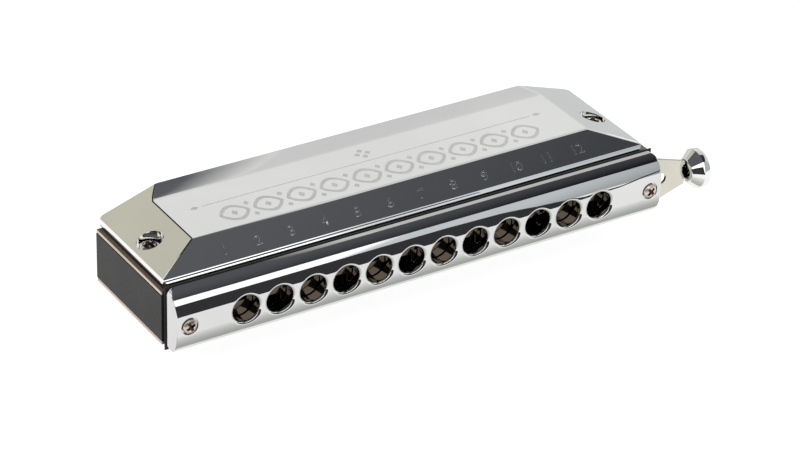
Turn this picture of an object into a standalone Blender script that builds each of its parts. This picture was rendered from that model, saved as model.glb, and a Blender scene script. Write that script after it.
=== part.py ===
"""Twelve-hole slide harmonica, modelled as the separate pieces it is assembled from.

Every piece hangs on one empty, the body frame, whose own axes are: +X along the row of
holes towards the slide button, +Y from the mouthpiece to the open back, +Z up. Its zero is
the middle of the hole row on the mouthpiece's front face, and half-way up the comb. The
empty is placed so that the world origin is the centre of the lower cover's flat face.
Lengths below are millimetres times MM, so that the model is in metres.
"""
import math

import bmesh
import bpy
from mathutils import Vector

MM = 0.001
GAP = 0.3 * MM             # clearance between neighbours
STACK_GAP = 0.2 * MM       # clearance between the thin sheets of the stack

# Row of playing holes
HOLE_COUNT = 12
PITCH = 9.5 * MM
HOLE_R = 3.65 * MM

# Mouthpiece
MOUTH_HALF_X = 71.7 * MM
MOUTH_DEPTH = 5.0 * MM
MOUTH_HALF_Z = 9.0 * MM
MOUTH_FLAT_HALF_Z = 2.5 * MM
MOUTH_CORNER_R = 2.0 * MM
CHANNEL_Y = 3.5 * MM
CHANNEL_HALF_Z = 6.9 * MM
CHANNEL_LEFT_X = -66.2 * MM

# Slide and its stroke
STROKE = 4.75 * MM
SLIDE_Y = (3.85 * MM, 4.65 * MM)
SLIDE_LEFT_X = -60.2 * MM
SLIDE_HALF_Z = 6.5 * MM
TAPER_X = (72.2 * MM, 81.9 * MM)
TAPER_END_HALF_Z = 3.4 * MM
TANG_END_X = 85.4 * MM
TANG_HALF_Z = 1.7 * MM
WINDOW_X = 4.0 * MM
WINDOW_Z = (0.5 * MM, 4.2 * MM)
SLOT_HALF_Z = 1.65 * MM
SLOT_END_X = 76.0 * MM
SPRING_HOLE_X = 62.5 * MM
SPRING_HOLE_R = 0.8 * MM

# Button on the slide's tang
BUTTON_X = 82.4 * MM
BUTTON_NECK_R = 3.3 * MM
BUTTON_RIM_R = 5.45 * MM
BUTTON_CONE = 2.7 * MM
BUTTON_RIM = 1.8 * MM
BUTTON_DOME = 0.9 * MM
BUTTON_BORE_R = 2.15 * MM
BUTTON_BORE = 3.5 * MM

# Sheets between mouthpiece and comb
BACK_PLATE_Y = (5.2 * MM, 5.6 * MM)
GASKET_Y = (5.8 * MM, 6.2 * MM)
BACK_PLATE_HALF = (71.2 * MM, 8.4 * MM)
GASKET_HALF = (71.9 * MM, 8.9 * MM)
GASKET_WINDOW_Z = (0.6 * MM, 4.6 * MM)
SPRING_WINDOW_X = (56.9 * MM, 65.2 * MM)
SPRING_WINDOW_HALF_Z = 1.5 * MM
LEFT_BUMPER_THICK = 0.7 * MM
LEFT_BUMPER_HALF_Z = 3.0 * MM

# Comb
COMB_HALF_X = 72.5 * MM
COMB_HALF_Z = 6.4 * MM
COMB_FRONT_Y = 6.4 * MM
COMB_BACK_Y = 40.8 * MM
CELL_WIDTH = 3.5 * MM
CELL_WEB = 0.8 * MM
CELL_FRONT_Y = 7.8 * MM
CELL_LENGTH = (30.0 * MM, 17.0 * MM)
PLENUM_HALF_X = 4.0 * MM
PLENUM_Z = (0.6 * MM, 5.2 * MM)
PLENUM_BACK_Y = 8.1 * MM
POCKET_X = (57.2 * MM, 65.2 * MM)
POCKET_BACK_Y = 15.0 * MM
POCKET_HALF_Z = 2.3 * MM

# Reed plates and reeds
PLATE_HALF_X = 72.4 * MM
PLATE_Y = (6.5 * MM, 40.7 * MM)
PLATE_Z = (6.6 * MM, 7.5 * MM)
SLOT_WIDTH = 2.2 * MM
SLOT_FRONT_Y = 12.2 * MM
SLOT_LENGTH = (22.0 * MM, 9.5 * MM)
REED_WIDTH = 1.8 * MM
REED_THICK = 0.3 * MM
REED_PAD = (3.0 * MM, 3.4 * MM)
RIVET_R = 0.9 * MM
RIVET_HEIGHT = 0.5 * MM

# Covers
COVER_HALF_X = 71.0 * MM
COVER_FRONT_Y = 8.6 * MM
COVER_BACK_Y = 42.9 * MM
COVER_FOOT_Z = 7.7 * MM
COVER_FOLD_Z = 9.2 * MM
COVER_FLAT_Z = 13.3 * MM
COVER_FLAT_Y = (16.4 * MM, 37.3 * MM)
COVER_FLAT_HALF_X = 58.5 * MM
COVER_LIP_RISE = 1.3 * MM
COVER_THICK = 0.5 * MM
SEAT_DROP = 0.15 * MM      # the cup under a seat stays this far below the facet
SEAT_R = 3.4 * MM
SEAT_FLOOR_Z = 8.2 * MM

# Fasteners
COVER_SCREW_X = 66.0 * MM
COVER_SCREW_Y = 24.5 * MM
COVER_SCREW_SHANK_R = 1.1 * MM
COVER_SCREW_HEAD_R = 2.8 * MM
COVER_SCREW_HEAD = 1.5 * MM
COVER_SCREW_LENGTH = 7.0 * MM
POST_R = 2.0 * MM
POST_BORE_R = 1.4 * MM
MOUTH_SCREW_X = 68.1 * MM
MOUTH_SCREW_HEAD_R = 1.95 * MM
MOUTH_SCREW_HEAD = 1.2 * MM
MOUTH_SCREW_SHANK_R = 0.75 * MM
MOUTH_SCREW_END_Y = 15.0 * MM
MOUTH_SINK_R = 2.3 * MM
MOUTH_SINK_Y = 0.7 * MM
SCREW_HOLE_R = 1.05 * MM
SLEEVE_R = 1.35 * MM
SLEEVE_BORE_R = 0.9 * MM
PLATE_SCREW_X = 61.5 * MM
PLATE_SCREW_YS = (19.5 * MM, 36.5 * MM)
PLATE_SCREW_HEAD_R = 1.5 * MM
PLATE_SCREW_SHANK_R = 0.7 * MM
PLATE_SCREW_LENGTH = 4.5 * MM
PLATE_SCREW_HEAD = (0.5 * MM, 0.9 * MM)
RECESS_ARM = 0.55          # cross recess: arm and bar width for each unit of head radius
RECESS_BAR = 0.3
RECESS_DEPTH = 0.6         # and depth for each unit of head height

# Return spring
POST_PIN_X = 60.1 * MM
POST_PIN_Y = 12.0 * MM
POST_PIN_R = 0.6 * MM
COIL_R = 1.45 * MM
WIRE_R = 0.25 * MM
COIL_TURNS = 2.5
COIL_PITCH = 0.8 * MM
SPRING_FIXED_END = (64.6 * MM, 8.2 * MM)
SPRING_KNEE_Y = 5.85 * MM

WORLD_SHIFT = Vector((0.0, -sum(COVER_FLAT_Y) / 2, COVER_FLAT_Z))


# ---------------------------------------------------------------- helpers

def clear_scene():
    for item in list(bpy.data.objects):
        bpy.data.objects.remove(item, do_unlink=True)


def make_material(name, colour, roughness, metallic):
    material = bpy.data.materials.new(name)
    material.use_nodes = True
    shader = material.node_tree.nodes["Principled BSDF"]
    shader.inputs["Base Color"].default_value = (*colour, 1.0)
    shader.inputs["Roughness"].default_value = roughness
    shader.inputs["Metallic"].default_value = metallic
    return material


def finish_mesh(name, bm, smooth_angle=None):
    """Turn a bmesh into a mesh with its faces pointing out."""
    bmesh.ops.recalc_face_normals(bm, faces=bm.faces)
    mesh = bpy.data.meshes.new(name)
    bm.to_mesh(mesh)
    bm.free()
    if smooth_angle is not None:
        mesh.shade_smooth()
        mesh.set_sharp_from_angle(angle=math.radians(smooth_angle))
    return mesh


def add_object(name, mesh, material=None, location=(0, 0, 0), rotation=(0, 0, 0)):
    """Link a piece under the body frame."""
    item = bpy.data.objects.new(name, mesh)
    bpy.context.collection.objects.link(item)
    item.parent = FRAME
    item.location = location
    item.rotation_euler = rotation
    if material is not None and not mesh.materials:
        mesh.materials.append(material)
    return item


def add_cutter(name, mesh):
    """A shape that only takes part in a Boolean."""
    item = add_object(name, mesh)
    item.hide_render = True
    item.display_type = "WIRE"
    return item


def apply_boolean(item, operation, cutter):
    modifier = item.modifiers.new(operation.lower() + "_" + cutter.name, "BOOLEAN")
    modifier.operation = operation
    modifier.solver = "EXACT"
    modifier.object = cutter


def combine(item, operation, name, mesh):
    """Cut a shape from a piece, or add it to the piece."""
    apply_boolean(item, operation, add_cutter(name, mesh))


def add_box(bm, x_range, y_range, z_range):
    """Add a closed box between the given limits."""
    corners = [bm.verts.new((x, y, z)) for x in x_range for y in y_range for z in z_range]
    for ring in ((0, 1, 3, 2), (4, 6, 7, 5), (0, 4, 5, 1), (2, 3, 7, 6), (0, 2, 6, 4), (1, 5, 7, 3)):
        bm.faces.new([corners[i] for i in ring])


def boxes_mesh(name, boxes):
    bm = bmesh.new()
    for box in boxes:
        add_box(bm, *box)
    return finish_mesh(name, bm)


def add_cylinder(bm, radius, start, end, segments):
    """Add a closed cylinder between two points that differ along one axis."""
    start, end = Vector(start), Vector(end)
    axis = end - start
    turn = Vector((0, 0, 1)).rotation_difference(axis).to_matrix().to_4x4()
    turn.translation = (start + end) / 2
    bmesh.ops.create_cone(bm, cap_ends=True, segments=segments, radius1=radius, radius2=radius,
                          depth=axis.length, matrix=turn)


def cylinders_mesh(name, cylinders):
    bm = bmesh.new()
    for cylinder in cylinders:
        add_cylinder(bm, *cylinder)
    return finish_mesh(name, bm)


def extrude_outline(name, points, direction):
    """Close a flat outline and extrude it along one direction."""
    bm = bmesh.new()
    face = bm.faces.new([bm.verts.new(point) for point in points])
    moved = bmesh.ops.extrude_face_region(bm, geom=[face])
    verts = [v for v in moved["geom"] if isinstance(v, bmesh.types.BMVert)]
    bmesh.ops.translate(bm, verts=verts, vec=direction)
    return finish_mesh(name, bm)


def lathe_mesh(name, profile, segments, smooth_angle=35):
    """Turn a profile of (radius, height) points, the first and last on the axis, about Z."""
    bm = bmesh.new()
    verts = [bm.verts.new((radius, 0, height)) for radius, height in profile]
    edges = [bm.edges.new(pair) for pair in zip(verts, verts[1:])]
    bmesh.ops.spin(bm, geom=verts + edges, cent=(0, 0, 0), axis=(0, 0, 1),
                   angle=2 * math.pi, steps=segments, use_merge=True)
    bmesh.ops.remove_doubles(bm, verts=bm.verts, dist=1e-6)
    return finish_mesh(name, bm, smooth_angle)


def hole_x(index):
    """Place of a playing hole, numbered from 0 at the left end."""
    return (index - (HOLE_COUNT - 1) / 2) * PITCH


def graded(limits, index):
    """A length that falls evenly from the lowest note to the highest."""
    return limits[0] + (limits[1] - limits[0]) * index / (HOLE_COUNT - 1)


def around(centre, width):
    return (centre - width / 2, centre + width / 2)


def mirrored(limits, side):
    """A height range above the comb's middle for side 1, below it for side -1."""
    return tuple(sorted(side * value for value in limits))


# ---------------------------------------------------------------- mouthpiece

def mouthpiece_outline():
    """Front flat and two arcs that meet the rear edges, as (0, y, z) points."""
    rise = MOUTH_HALF_Z - MOUTH_FLAT_HALF_Z
    radius = (MOUTH_DEPTH ** 2 + rise ** 2) / (2 * MOUTH_DEPTH)
    sweep = math.asin(rise / radius)
    steps = 7
    upper = []
    for step in range(steps + 1):
        angle = sweep * step / steps
        y = radius * (1 - math.cos(angle))
        z = MOUTH_FLAT_HALF_Z + radius * math.sin(angle)
        upper.append((-MOUTH_HALF_X, y, z))
    lower = [(x, y, -z) for x, y, z in reversed(upper)]
    return upper + lower


def rounded_outline(half_x, half_z, radius, y, steps=4):
    """Rectangle with rounded corners, as (x, y, z) points."""
    points = []
    for quarter, (sign_x, sign_z) in enumerate(((1, 1), (-1, 1), (-1, -1), (1, -1))):
        for step in range(steps + 1):
            angle = math.radians(90 * quarter + 90 * step / steps)
            points.append((sign_x * (half_x - radius) + radius * math.cos(angle), y,
                           sign_z * (half_z - radius) + radius * math.sin(angle)))
    return points


def make_mouthpiece():
    mesh = extrude_outline("mouthpiece", mouthpiece_outline(), (2 * MOUTH_HALF_X, 0, 0))
    mesh.shade_smooth()
    mesh.set_sharp_from_angle(angle=math.radians(30))
    piece = add_object("mouthpiece", mesh, CHROME)
    bores = []
    for index in range(HOLE_COUNT):
        x = hole_x(index)
        bores.append((HOLE_R, (x, -MM, 0), (x, MOUTH_DEPTH - MM, 0), 24))
    sinks = []
    for side in (-1, 1):
        x = side * MOUTH_SCREW_X
        bores.append((SCREW_HOLE_R, (x, -MM, 0), (x, MOUTH_DEPTH + MM, 0), 12))
        sinks.append((MOUTH_SINK_R, (x, -MM, 0), (x, MOUTH_SINK_Y, 0), 20))
    channel = ((CHANNEL_LEFT_X, MOUTH_HALF_X + MM), (CHANNEL_Y, MOUTH_DEPTH + MM),
               (-CHANNEL_HALF_Z, CHANNEL_HALF_Z))
    corners = rounded_outline(MOUTH_HALF_X, MOUTH_HALF_Z, MOUTH_CORNER_R, -MM)
    blank = extrude_outline("mouthpiece_corners", corners, (0, MOUTH_DEPTH + 2 * MM, 0))
    combine(piece, "INTERSECT", "mouthpiece_corners", blank)
    combine(piece, "DIFFERENCE", "cut_channel", boxes_mesh("cut_channel", [channel]))
    combine(piece, "DIFFERENCE", "cut_bores", cylinders_mesh("cut_bores", bores))
    combine(piece, "DIFFERENCE", "cut_sinks", cylinders_mesh("cut_sinks", sinks))


# ---------------------------------------------------------------- slide and button

def slide_window_boxes():
    """Odd holes are open above at rest and below when pressed, even holes the other way."""
    depth = (SLIDE_Y[0] - MM, SLIDE_Y[1] + MM)
    boxes = []
    for index in range(HOLE_COUNT):
        rest_side = 1 if index % 2 == 0 else -1
        for side, shift in ((rest_side, 0.0), (-rest_side, STROKE)):
            boxes.append((around(hole_x(index) + shift, WINDOW_X), depth, mirrored(WINDOW_Z, side)))
    return boxes


def stadium(x_range, half_z, y, steps=6):
    """Outline of a slot with round ends, as (x, y, z) points."""
    points = []
    for centre, start in ((x_range[1] - half_z, -90), (x_range[0] + half_z, 90)):
        for step in range(steps + 1):
            angle = math.radians(start + 180 * step / steps)
            points.append((centre + half_z * math.cos(angle), y, half_z * math.sin(angle)))
    return points


def make_slide():
    """Thin plate with zigzag windows, tapering to the tang that carries the button."""
    upper = [(SLIDE_LEFT_X, SLIDE_HALF_Z), (TAPER_X[0], SLIDE_HALF_Z), (TAPER_X[1], TAPER_END_HALF_Z),
             (TAPER_X[1], TANG_HALF_Z), (TANG_END_X, TANG_HALF_Z)]
    outline = upper + [(x, -z) for x, z in reversed(upper)]
    thickness = SLIDE_Y[1] - SLIDE_Y[0]
    mesh = extrude_outline("slide", [(x, SLIDE_Y[0], z) for x, z in outline], (0, thickness, 0))
    slide = add_object("slide", mesh, NICKEL)
    slot_range = (MOUTH_SCREW_X - SLEEVE_R - GAP, SLOT_END_X)
    slot_mesh = extrude_outline("cut_slide_slot", stadium(slot_range, SLOT_HALF_Z, SLIDE_Y[0] - MM),
                                (0, thickness + 2 * MM, 0))
    hook_start = (SPRING_HOLE_X, SLIDE_Y[0] - MM, 0)
    hook_end = (SPRING_HOLE_X, SLIDE_Y[1] + MM, 0)
    hook = (SPRING_HOLE_R, hook_start, hook_end, 12)
    windows_mesh = boxes_mesh("cut_slide_windows", slide_window_boxes())
    combine(slide, "DIFFERENCE", "cut_slide_windows", windows_mesh)
    combine(slide, "DIFFERENCE", "cut_slide_slot", slot_mesh)
    combine(slide, "DIFFERENCE", "cut_hook", cylinders_mesh("cut_hook", [hook]))


def make_button():
    """Turned knob: blind bore, flat neck face, cone, rim and a shallow dome."""
    cone_top = BUTTON_CONE
    rim_top = cone_top + BUTTON_RIM
    profile = [(0, BUTTON_BORE), (BUTTON_BORE_R, BUTTON_BORE), (BUTTON_BORE_R, 0), (BUTTON_NECK_R, 0),
               (BUTTON_RIM_R, cone_top), (BUTTON_RIM_R, rim_top)]
    steps = 4
    for step in range(1, steps + 1):
        angle = math.radians(90 * step / steps)
        profile.append((BUTTON_RIM_R * math.cos(angle), rim_top + BUTTON_DOME * math.sin(angle)))
    profile[-1] = (0, rim_top + BUTTON_DOME)
    mesh = lathe_mesh("button", profile, 32)
    centre_y = sum(SLIDE_Y) / 2
    add_object("button", mesh, CHROME, (BUTTON_X, centre_y, 0), (0, math.radians(90), 0))


# ---------------------------------------------------------------- sheets and bumpers

def make_sheet(name, half_size, y_range, window_z, material):
    """Thin sheet behind the slide, with a window for each half hole."""
    outer = ((-half_size[0], half_size[0]), y_range, (-half_size[1], half_size[1]))
    sheet = add_object(name, boxes_mesh(name, [outer]), material)
    through = (y_range[0] - MM, y_range[1] + MM)
    boxes = [(around(hole_x(index), WINDOW_X), through, mirrored(window_z, side))
             for index in range(HOLE_COUNT) for side in (1, -1)]
    boxes.append((SPRING_WINDOW_X, through, (-SPRING_WINDOW_HALF_Z, SPRING_WINDOW_HALF_Z)))
    screws = []
    for side in (-1, 1):
        x = side * MOUTH_SCREW_X
        screws.append((SCREW_HOLE_R, (x, through[0], 0), (x, through[1], 0), 12))
    combine(sheet, "DIFFERENCE", "cut_windows_" + name, boxes_mesh("cut_windows", boxes))
    combine(sheet, "DIFFERENCE", "cut_screws_" + name, cylinders_mesh("cut_screws", screws))


def make_bumpers():
    """Soft stops for the slide: a pad at its inner end and a sleeve on the right screw."""
    start_x = CHANNEL_LEFT_X + STACK_GAP
    pad = ((start_x, start_x + LEFT_BUMPER_THICK), (CHANNEL_Y + GAP, MOUTH_DEPTH - GAP),
           (-LEFT_BUMPER_HALF_Z, LEFT_BUMPER_HALF_Z))
    add_object("left_bumper", boxes_mesh("left_bumper", [pad]), RUBBER)
    y_range = (CHANNEL_Y + STACK_GAP, MOUTH_DEPTH - STACK_GAP)
    bm = bmesh.new()
    add_cylinder(bm, SLEEVE_R, (MOUTH_SCREW_X, y_range[0], 0), (MOUTH_SCREW_X, y_range[1], 0), 20)
    sleeve = add_object("right_bumper", finish_mesh("right_bumper", bm), RUBBER)
    bore = (SLEEVE_BORE_R, (MOUTH_SCREW_X, 0, 0), (MOUTH_SCREW_X, 2 * MOUTH_DEPTH, 0), 20)
    combine(sleeve, "DIFFERENCE", "cut_sleeve", cylinders_mesh("cut_sleeve", [bore]))


# ---------------------------------------------------------------- comb

def cell_x(index, reed):
    """Middle of one of the two cells of a hole: reed -1 is the left one, 1 the right one."""
    return hole_x(index) + reed * PITCH / 4


def comb_boxes():
    """The plenum behind each half hole, and the reed cells behind it."""
    plenums = []
    cells = []
    top = COMB_HALF_Z + MM
    for index in range(HOLE_COUNT):
        back = CELL_FRONT_Y + graded(CELL_LENGTH, index)
        for side in (1, -1):
            plenums.append(((hole_x(index) - PLENUM_HALF_X, hole_x(index) + PLENUM_HALF_X),
                            (COMB_FRONT_Y - MM, PLENUM_BACK_Y), mirrored(PLENUM_Z, side)))
            for reed in (-1, 1):
                cells.append((around(cell_x(index, reed), CELL_WIDTH), (CELL_FRONT_Y, back),
                              mirrored((CELL_WEB, top), side)))
    return plenums, cells


def make_comb():
    """One moulding: the block and every pocket and bore in it."""
    block = ((-COMB_HALF_X, COMB_HALF_X), (COMB_FRONT_Y, COMB_BACK_Y), (-COMB_HALF_Z, COMB_HALF_Z))
    comb = add_object("comb", boxes_mesh("comb", [block]), BLACK_PLASTIC)
    plenums, cells = comb_boxes()
    pocket = (POCKET_X, (COMB_FRONT_Y - MM, POCKET_BACK_Y), (-POCKET_HALF_Z, POCKET_HALF_Z))
    through = COMB_HALF_Z + MM
    bores = []
    for side in (-1, 1):
        x = side * MOUTH_SCREW_X
        bores.append((SCREW_HOLE_R, (x, COMB_FRONT_Y - MM, 0), (x, MOUTH_SCREW_END_Y + MM, 0), 12))
        x = side * COVER_SCREW_X
        bores.append((POST_R + STACK_GAP, (x, COVER_SCREW_Y, -through), (x, COVER_SCREW_Y, through), 20))
        x = side * PLATE_SCREW_X
        for y in PLATE_SCREW_YS:
            bores.append((PLATE_SCREW_SHANK_R + STACK_GAP, (x, y, -through), (x, y, through), 10))
    pin_ends = ((POST_PIN_X, POST_PIN_Y, -through), (POST_PIN_X, POST_PIN_Y, through))
    bores.append((POST_PIN_R + STACK_GAP, *pin_ends, 12))
    combine(comb, "DIFFERENCE", "cut_plenums", boxes_mesh("cut_plenums", plenums + [pocket]))
    combine(comb, "DIFFERENCE", "cut_cells", boxes_mesh("cut_cells", cells))
    combine(comb, "DIFFERENCE", "cut_comb_bores", cylinders_mesh("cut_comb_bores", bores))


# ---------------------------------------------------------------- reed plates and reeds

def reed_outline(index, reed):
    """Plan outline of a reed: tongue over its slot, and a wider pad where it is riveted.

    Left reeds are riveted at the back, right reeds at the front.
    """
    x = cell_x(index, reed)
    front = SLOT_FRONT_Y
    back = front + graded(SLOT_LENGTH, index)
    pad_half, tongue_half = REED_PAD[0] / 2, REED_WIDTH / 2
    if reed < 0:
        tip, neck, end = front + STACK_GAP, back, back + REED_PAD[1]
    else:
        tip, neck, end = back - STACK_GAP, front, front - REED_PAD[1]
    left = [(x - tongue_half, tip), (x - tongue_half, neck), (x - pad_half, neck), (x - pad_half, end)]
    right = [(x + pad_half, end), (x + pad_half, neck), (x + tongue_half, neck), (x + tongue_half, tip)]
    return left + right


def inner_reed_boxes(side):
    """Tongues and riveted pads of the twelve reeds on the comb side of a plate."""
    tongues = []
    pads = []
    tongue_z = mirrored((PLATE_Z[0] - 2 * REED_THICK, PLATE_Z[0] - REED_THICK), side)
    pad_z = mirrored((PLATE_Z[0] - 2 * REED_THICK, PLATE_Z[0] + REED_THICK), side)
    for index in range(HOLE_COUNT):
        outline = reed_outline(index, 1)
        tongue_x = (outline[0][0], outline[-1][0])
        pad_x = (outline[2][0], outline[5][0])
        neck_y, tip_y = outline[1][1], outline[0][1]
        tongues.append((tongue_x, (neck_y - REED_THICK, tip_y), tongue_z))
        pads.append((pad_x, (outline[3][1], neck_y - STACK_GAP), pad_z))
    return tongues, pads


def make_reed_plate(name, side):
    """Brass plate with two slots a hole; the twelve inner reeds are part of its body."""
    outer = ((-PLATE_HALF_X, PLATE_HALF_X), PLATE_Y, mirrored(PLATE_Z, side))
    plate = add_object(name, boxes_mesh(name, [outer]), BRASS)
    through = mirrored((PLATE_Z[0] - 2 * MM, PLATE_Z[1] + 2 * MM), side)
    slots = []
    for index in range(HOLE_COUNT):
        y_range = (SLOT_FRONT_Y, SLOT_FRONT_Y + graded(SLOT_LENGTH, index))
        for reed in (-1, 1):
            slots.append((around(cell_x(index, reed), SLOT_WIDTH), y_range, through))
    bores = []
    for end in (-1, 1):
        x = end * COVER_SCREW_X
        bores.append((POST_BORE_R, (x, COVER_SCREW_Y, through[0]), (x, COVER_SCREW_Y, through[1]), 16))
        for y in PLATE_SCREW_YS:
            x = end * PLATE_SCREW_X
            bores.append((PLATE_SCREW_SHANK_R + STACK_GAP, (x, y, through[0]), (x, y, through[1]), 10))
    tongues, pads = inner_reed_boxes(side)
    combine(plate, "DIFFERENCE", "cut_slots_" + name, boxes_mesh("cut_slots", slots))
    combine(plate, "DIFFERENCE", "cut_bores_" + name, cylinders_mesh("cut_bores", bores))
    combine(plate, "UNION", "add_pads_" + name, boxes_mesh("add_pads", pads))
    combine(plate, "UNION", "add_tongues_" + name, boxes_mesh("add_tongues", tongues))


def make_outer_reed(index, side):
    """A reed on the outside of a plate, with the head of its rivet."""
    plate_name = "upper" if side > 0 else "lower"
    name = "%s_reed_%02d" % (plate_name, index + 1)
    base = PLATE_Z[1] + STACK_GAP
    outline = reed_outline(index, -1)
    points = [(x, y, side * base) for x, y in outline]
    reed = add_object(name, extrude_outline(name, points, (0, 0, side * REED_THICK)), BRONZE)
    x = cell_x(index, -1)
    y = (outline[2][1] + outline[3][1]) / 2
    low, high = base + REED_THICK / 2, base + REED_THICK + RIVET_HEIGHT
    rivet = (RIVET_R, (x, y, side * low), (x, y, side * high), 10)
    combine(reed, "UNION", "rivet_" + name, cylinders_mesh("rivet", [rivet]))


# ---------------------------------------------------------------- covers

def facet_slope():
    """Fall of the end facets for each unit of length towards the end."""
    return (COVER_FLAT_Z - COVER_FOLD_Z) / (COVER_HALF_X - COVER_FLAT_HALF_X)


def cut_by_facets(bm, drop=0.0):
    """Cut away what lies above the two end facets and close the cuts."""
    slope = facet_slope()
    for side in (-1, 1):
        geometry = bm.verts[:] + bm.edges[:] + bm.faces[:]
        cut = bmesh.ops.bisect_plane(bm, geom=geometry, dist=1e-7,
                                     plane_co=(side * COVER_HALF_X, 0, COVER_FOLD_Z - drop),
                                     plane_no=Vector((side * slope, 0, 1)).normalized(), clear_outer=True)
        edges = [g for g in cut["geom_cut"] if isinstance(g, bmesh.types.BMEdge)]
        if edges:
            bmesh.ops.edgeloop_fill(bm, edges=edges)


def cover_outline():
    """Section of the cover from its front foot to the rear lip, as (y, z) points."""
    flat_end = COVER_FLAT_Y[1]
    run = COVER_BACK_Y - flat_end
    radius = (run ** 2 + COVER_LIP_RISE ** 2) / (2 * COVER_LIP_RISE)
    sweep = math.asin(run / radius)
    steps = 5
    points = [(COVER_FRONT_Y, COVER_FOOT_Z), (COVER_FRONT_Y, COVER_FOLD_Z), (COVER_FLAT_Y[0], COVER_FLAT_Z)]
    for step in range(steps + 1):
        angle = sweep * step / steps
        points.append((flat_end + radius * math.sin(angle), COVER_FLAT_Z + radius * (1 - math.cos(angle))))
    points.append((COVER_BACK_Y, COVER_FOOT_Z))
    return points


def cover_mesh():
    """Outer skin of a cover, open below and at the back."""
    bm = bmesh.new()
    face = bm.faces.new([bm.verts.new((-COVER_HALF_X, y, z)) for y, z in cover_outline()])
    moved = bmesh.ops.extrude_face_region(bm, geom=[face])
    verts = [v for v in moved["geom"] if isinstance(v, bmesh.types.BMVert)]
    bmesh.ops.translate(bm, verts=verts, vec=(2 * COVER_HALF_X, 0, 0))
    cut_by_facets(bm)
    bmesh.ops.recalc_face_normals(bm, faces=bm.faces)
    small = 1e-6
    open_faces = [f for f in bm.faces
                  if all(v.co.z < COVER_FOOT_Z + small for v in f.verts)
                  or all(v.co.y > COVER_BACK_Y - small for v in f.verts)]
    bmesh.ops.delete(bm, geom=open_faces, context="FACES")
    mesh = bpy.data.meshes.new("cover_skin")
    bm.to_mesh(mesh)
    bm.free()
    return mesh


def seat_cup_mesh(side):
    """Solid under the sunk seat of a cover screw, which the seat is then cut into."""
    bm = bmesh.new()
    x = side * COVER_SCREW_X
    add_cylinder(bm, SEAT_R + COVER_THICK, (x, COVER_SCREW_Y, COVER_FOOT_Z),
                 (x, COVER_SCREW_Y, COVER_FLAT_Z + MM), 24)
    cut_by_facets(bm, drop=SEAT_DROP)
    return finish_mesh("seat_cup", bm)


def make_covers():
    """Two stamped covers of one shape; the lower one is turned half a turn about Y."""
    seats = []
    holes = []
    for x in (-COVER_SCREW_X, COVER_SCREW_X):
        top = (x, COVER_SCREW_Y, COVER_FLAT_Z + 2 * MM)
        seats.append((SEAT_R, (x, COVER_SCREW_Y, SEAT_FLOOR_Z), top, 24))
        holes.append((POST_BORE_R, (x, COVER_SCREW_Y, COVER_FOOT_Z - MM), top, 16))
    cover = add_object("upper_cover", cover_mesh(), CHROME)
    sheet = cover.modifiers.new("sheet", "SOLIDIFY")
    sheet.thickness = COVER_THICK
    sheet.offset = -1.0
    sheet.use_even_offset = True
    combine(cover, "UNION", "seat_cup_left", seat_cup_mesh(-1))
    combine(cover, "UNION", "seat_cup_right", seat_cup_mesh(1))
    combine(cover, "DIFFERENCE", "cut_seats", cylinders_mesh("cut_seats", seats))
    combine(cover, "DIFFERENCE", "cut_cover_holes", cylinders_mesh("cut_cover_holes", holes))
    bpy.context.view_layer.update()
    evaluated = cover.evaluated_get(bpy.context.evaluated_depsgraph_get())
    finished = bpy.data.meshes.new_from_object(evaluated)
    finished.name = "cover"
    cover.modifiers.clear()
    cover.data = finished
    add_object("lower_cover", finished, CHROME, rotation=(0, math.radians(180), 0))


# ---------------------------------------------------------------- fasteners

def pan_head_profile(head_r, head_height, shank_r, shank_length):
    """Half section of a pan-head screw: shank down to -shank_length, head from 0 up."""
    crown = 0.45 * head_height
    return [(0, -shank_length), (shank_r, -shank_length), (shank_r, 0), (head_r, 0),
            (head_r, head_height - crown), (0.82 * head_r, head_height - 0.35 * crown),
            (0.45 * head_r, head_height), (0, head_height)]


def cross_recess(name, arm, width, top, depth):
    """Two crossing bars that cut the driver recess; they are cut one after the other."""
    z_range = (top - depth, top + MM)
    bar_x = boxes_mesh(name + "_x", [((-arm, arm), (-width / 2, width / 2), z_range)])
    bar_y = boxes_mesh(name + "_y", [((-width / 2, width / 2), (-arm, arm), z_range)])
    return bar_x, bar_y


def screw_mesh(name, head_r, head_height, shank_r, shank_length, segments):
    """Screw with its cross recess cut, as one finished mesh."""
    profile = pan_head_profile(head_r, head_height, shank_r, shank_length)
    blank = add_object(name + "_blank", lathe_mesh(name, profile, segments))
    cutters = []
    for bar in cross_recess(name + "_recess", RECESS_ARM * head_r, RECESS_BAR * head_r, head_height,
                            RECESS_DEPTH * head_height):
        cutters.append(add_cutter(bar.name, bar))
        apply_boolean(blank, "DIFFERENCE", cutters[-1])
    bpy.context.view_layer.update()
    evaluated = blank.evaluated_get(bpy.context.evaluated_depsgraph_get())
    finished = bpy.data.meshes.new_from_object(evaluated)
    finished.name = name
    for item in [blank] + cutters:
        bpy.data.objects.remove(item, do_unlink=True)
    return finished


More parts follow.
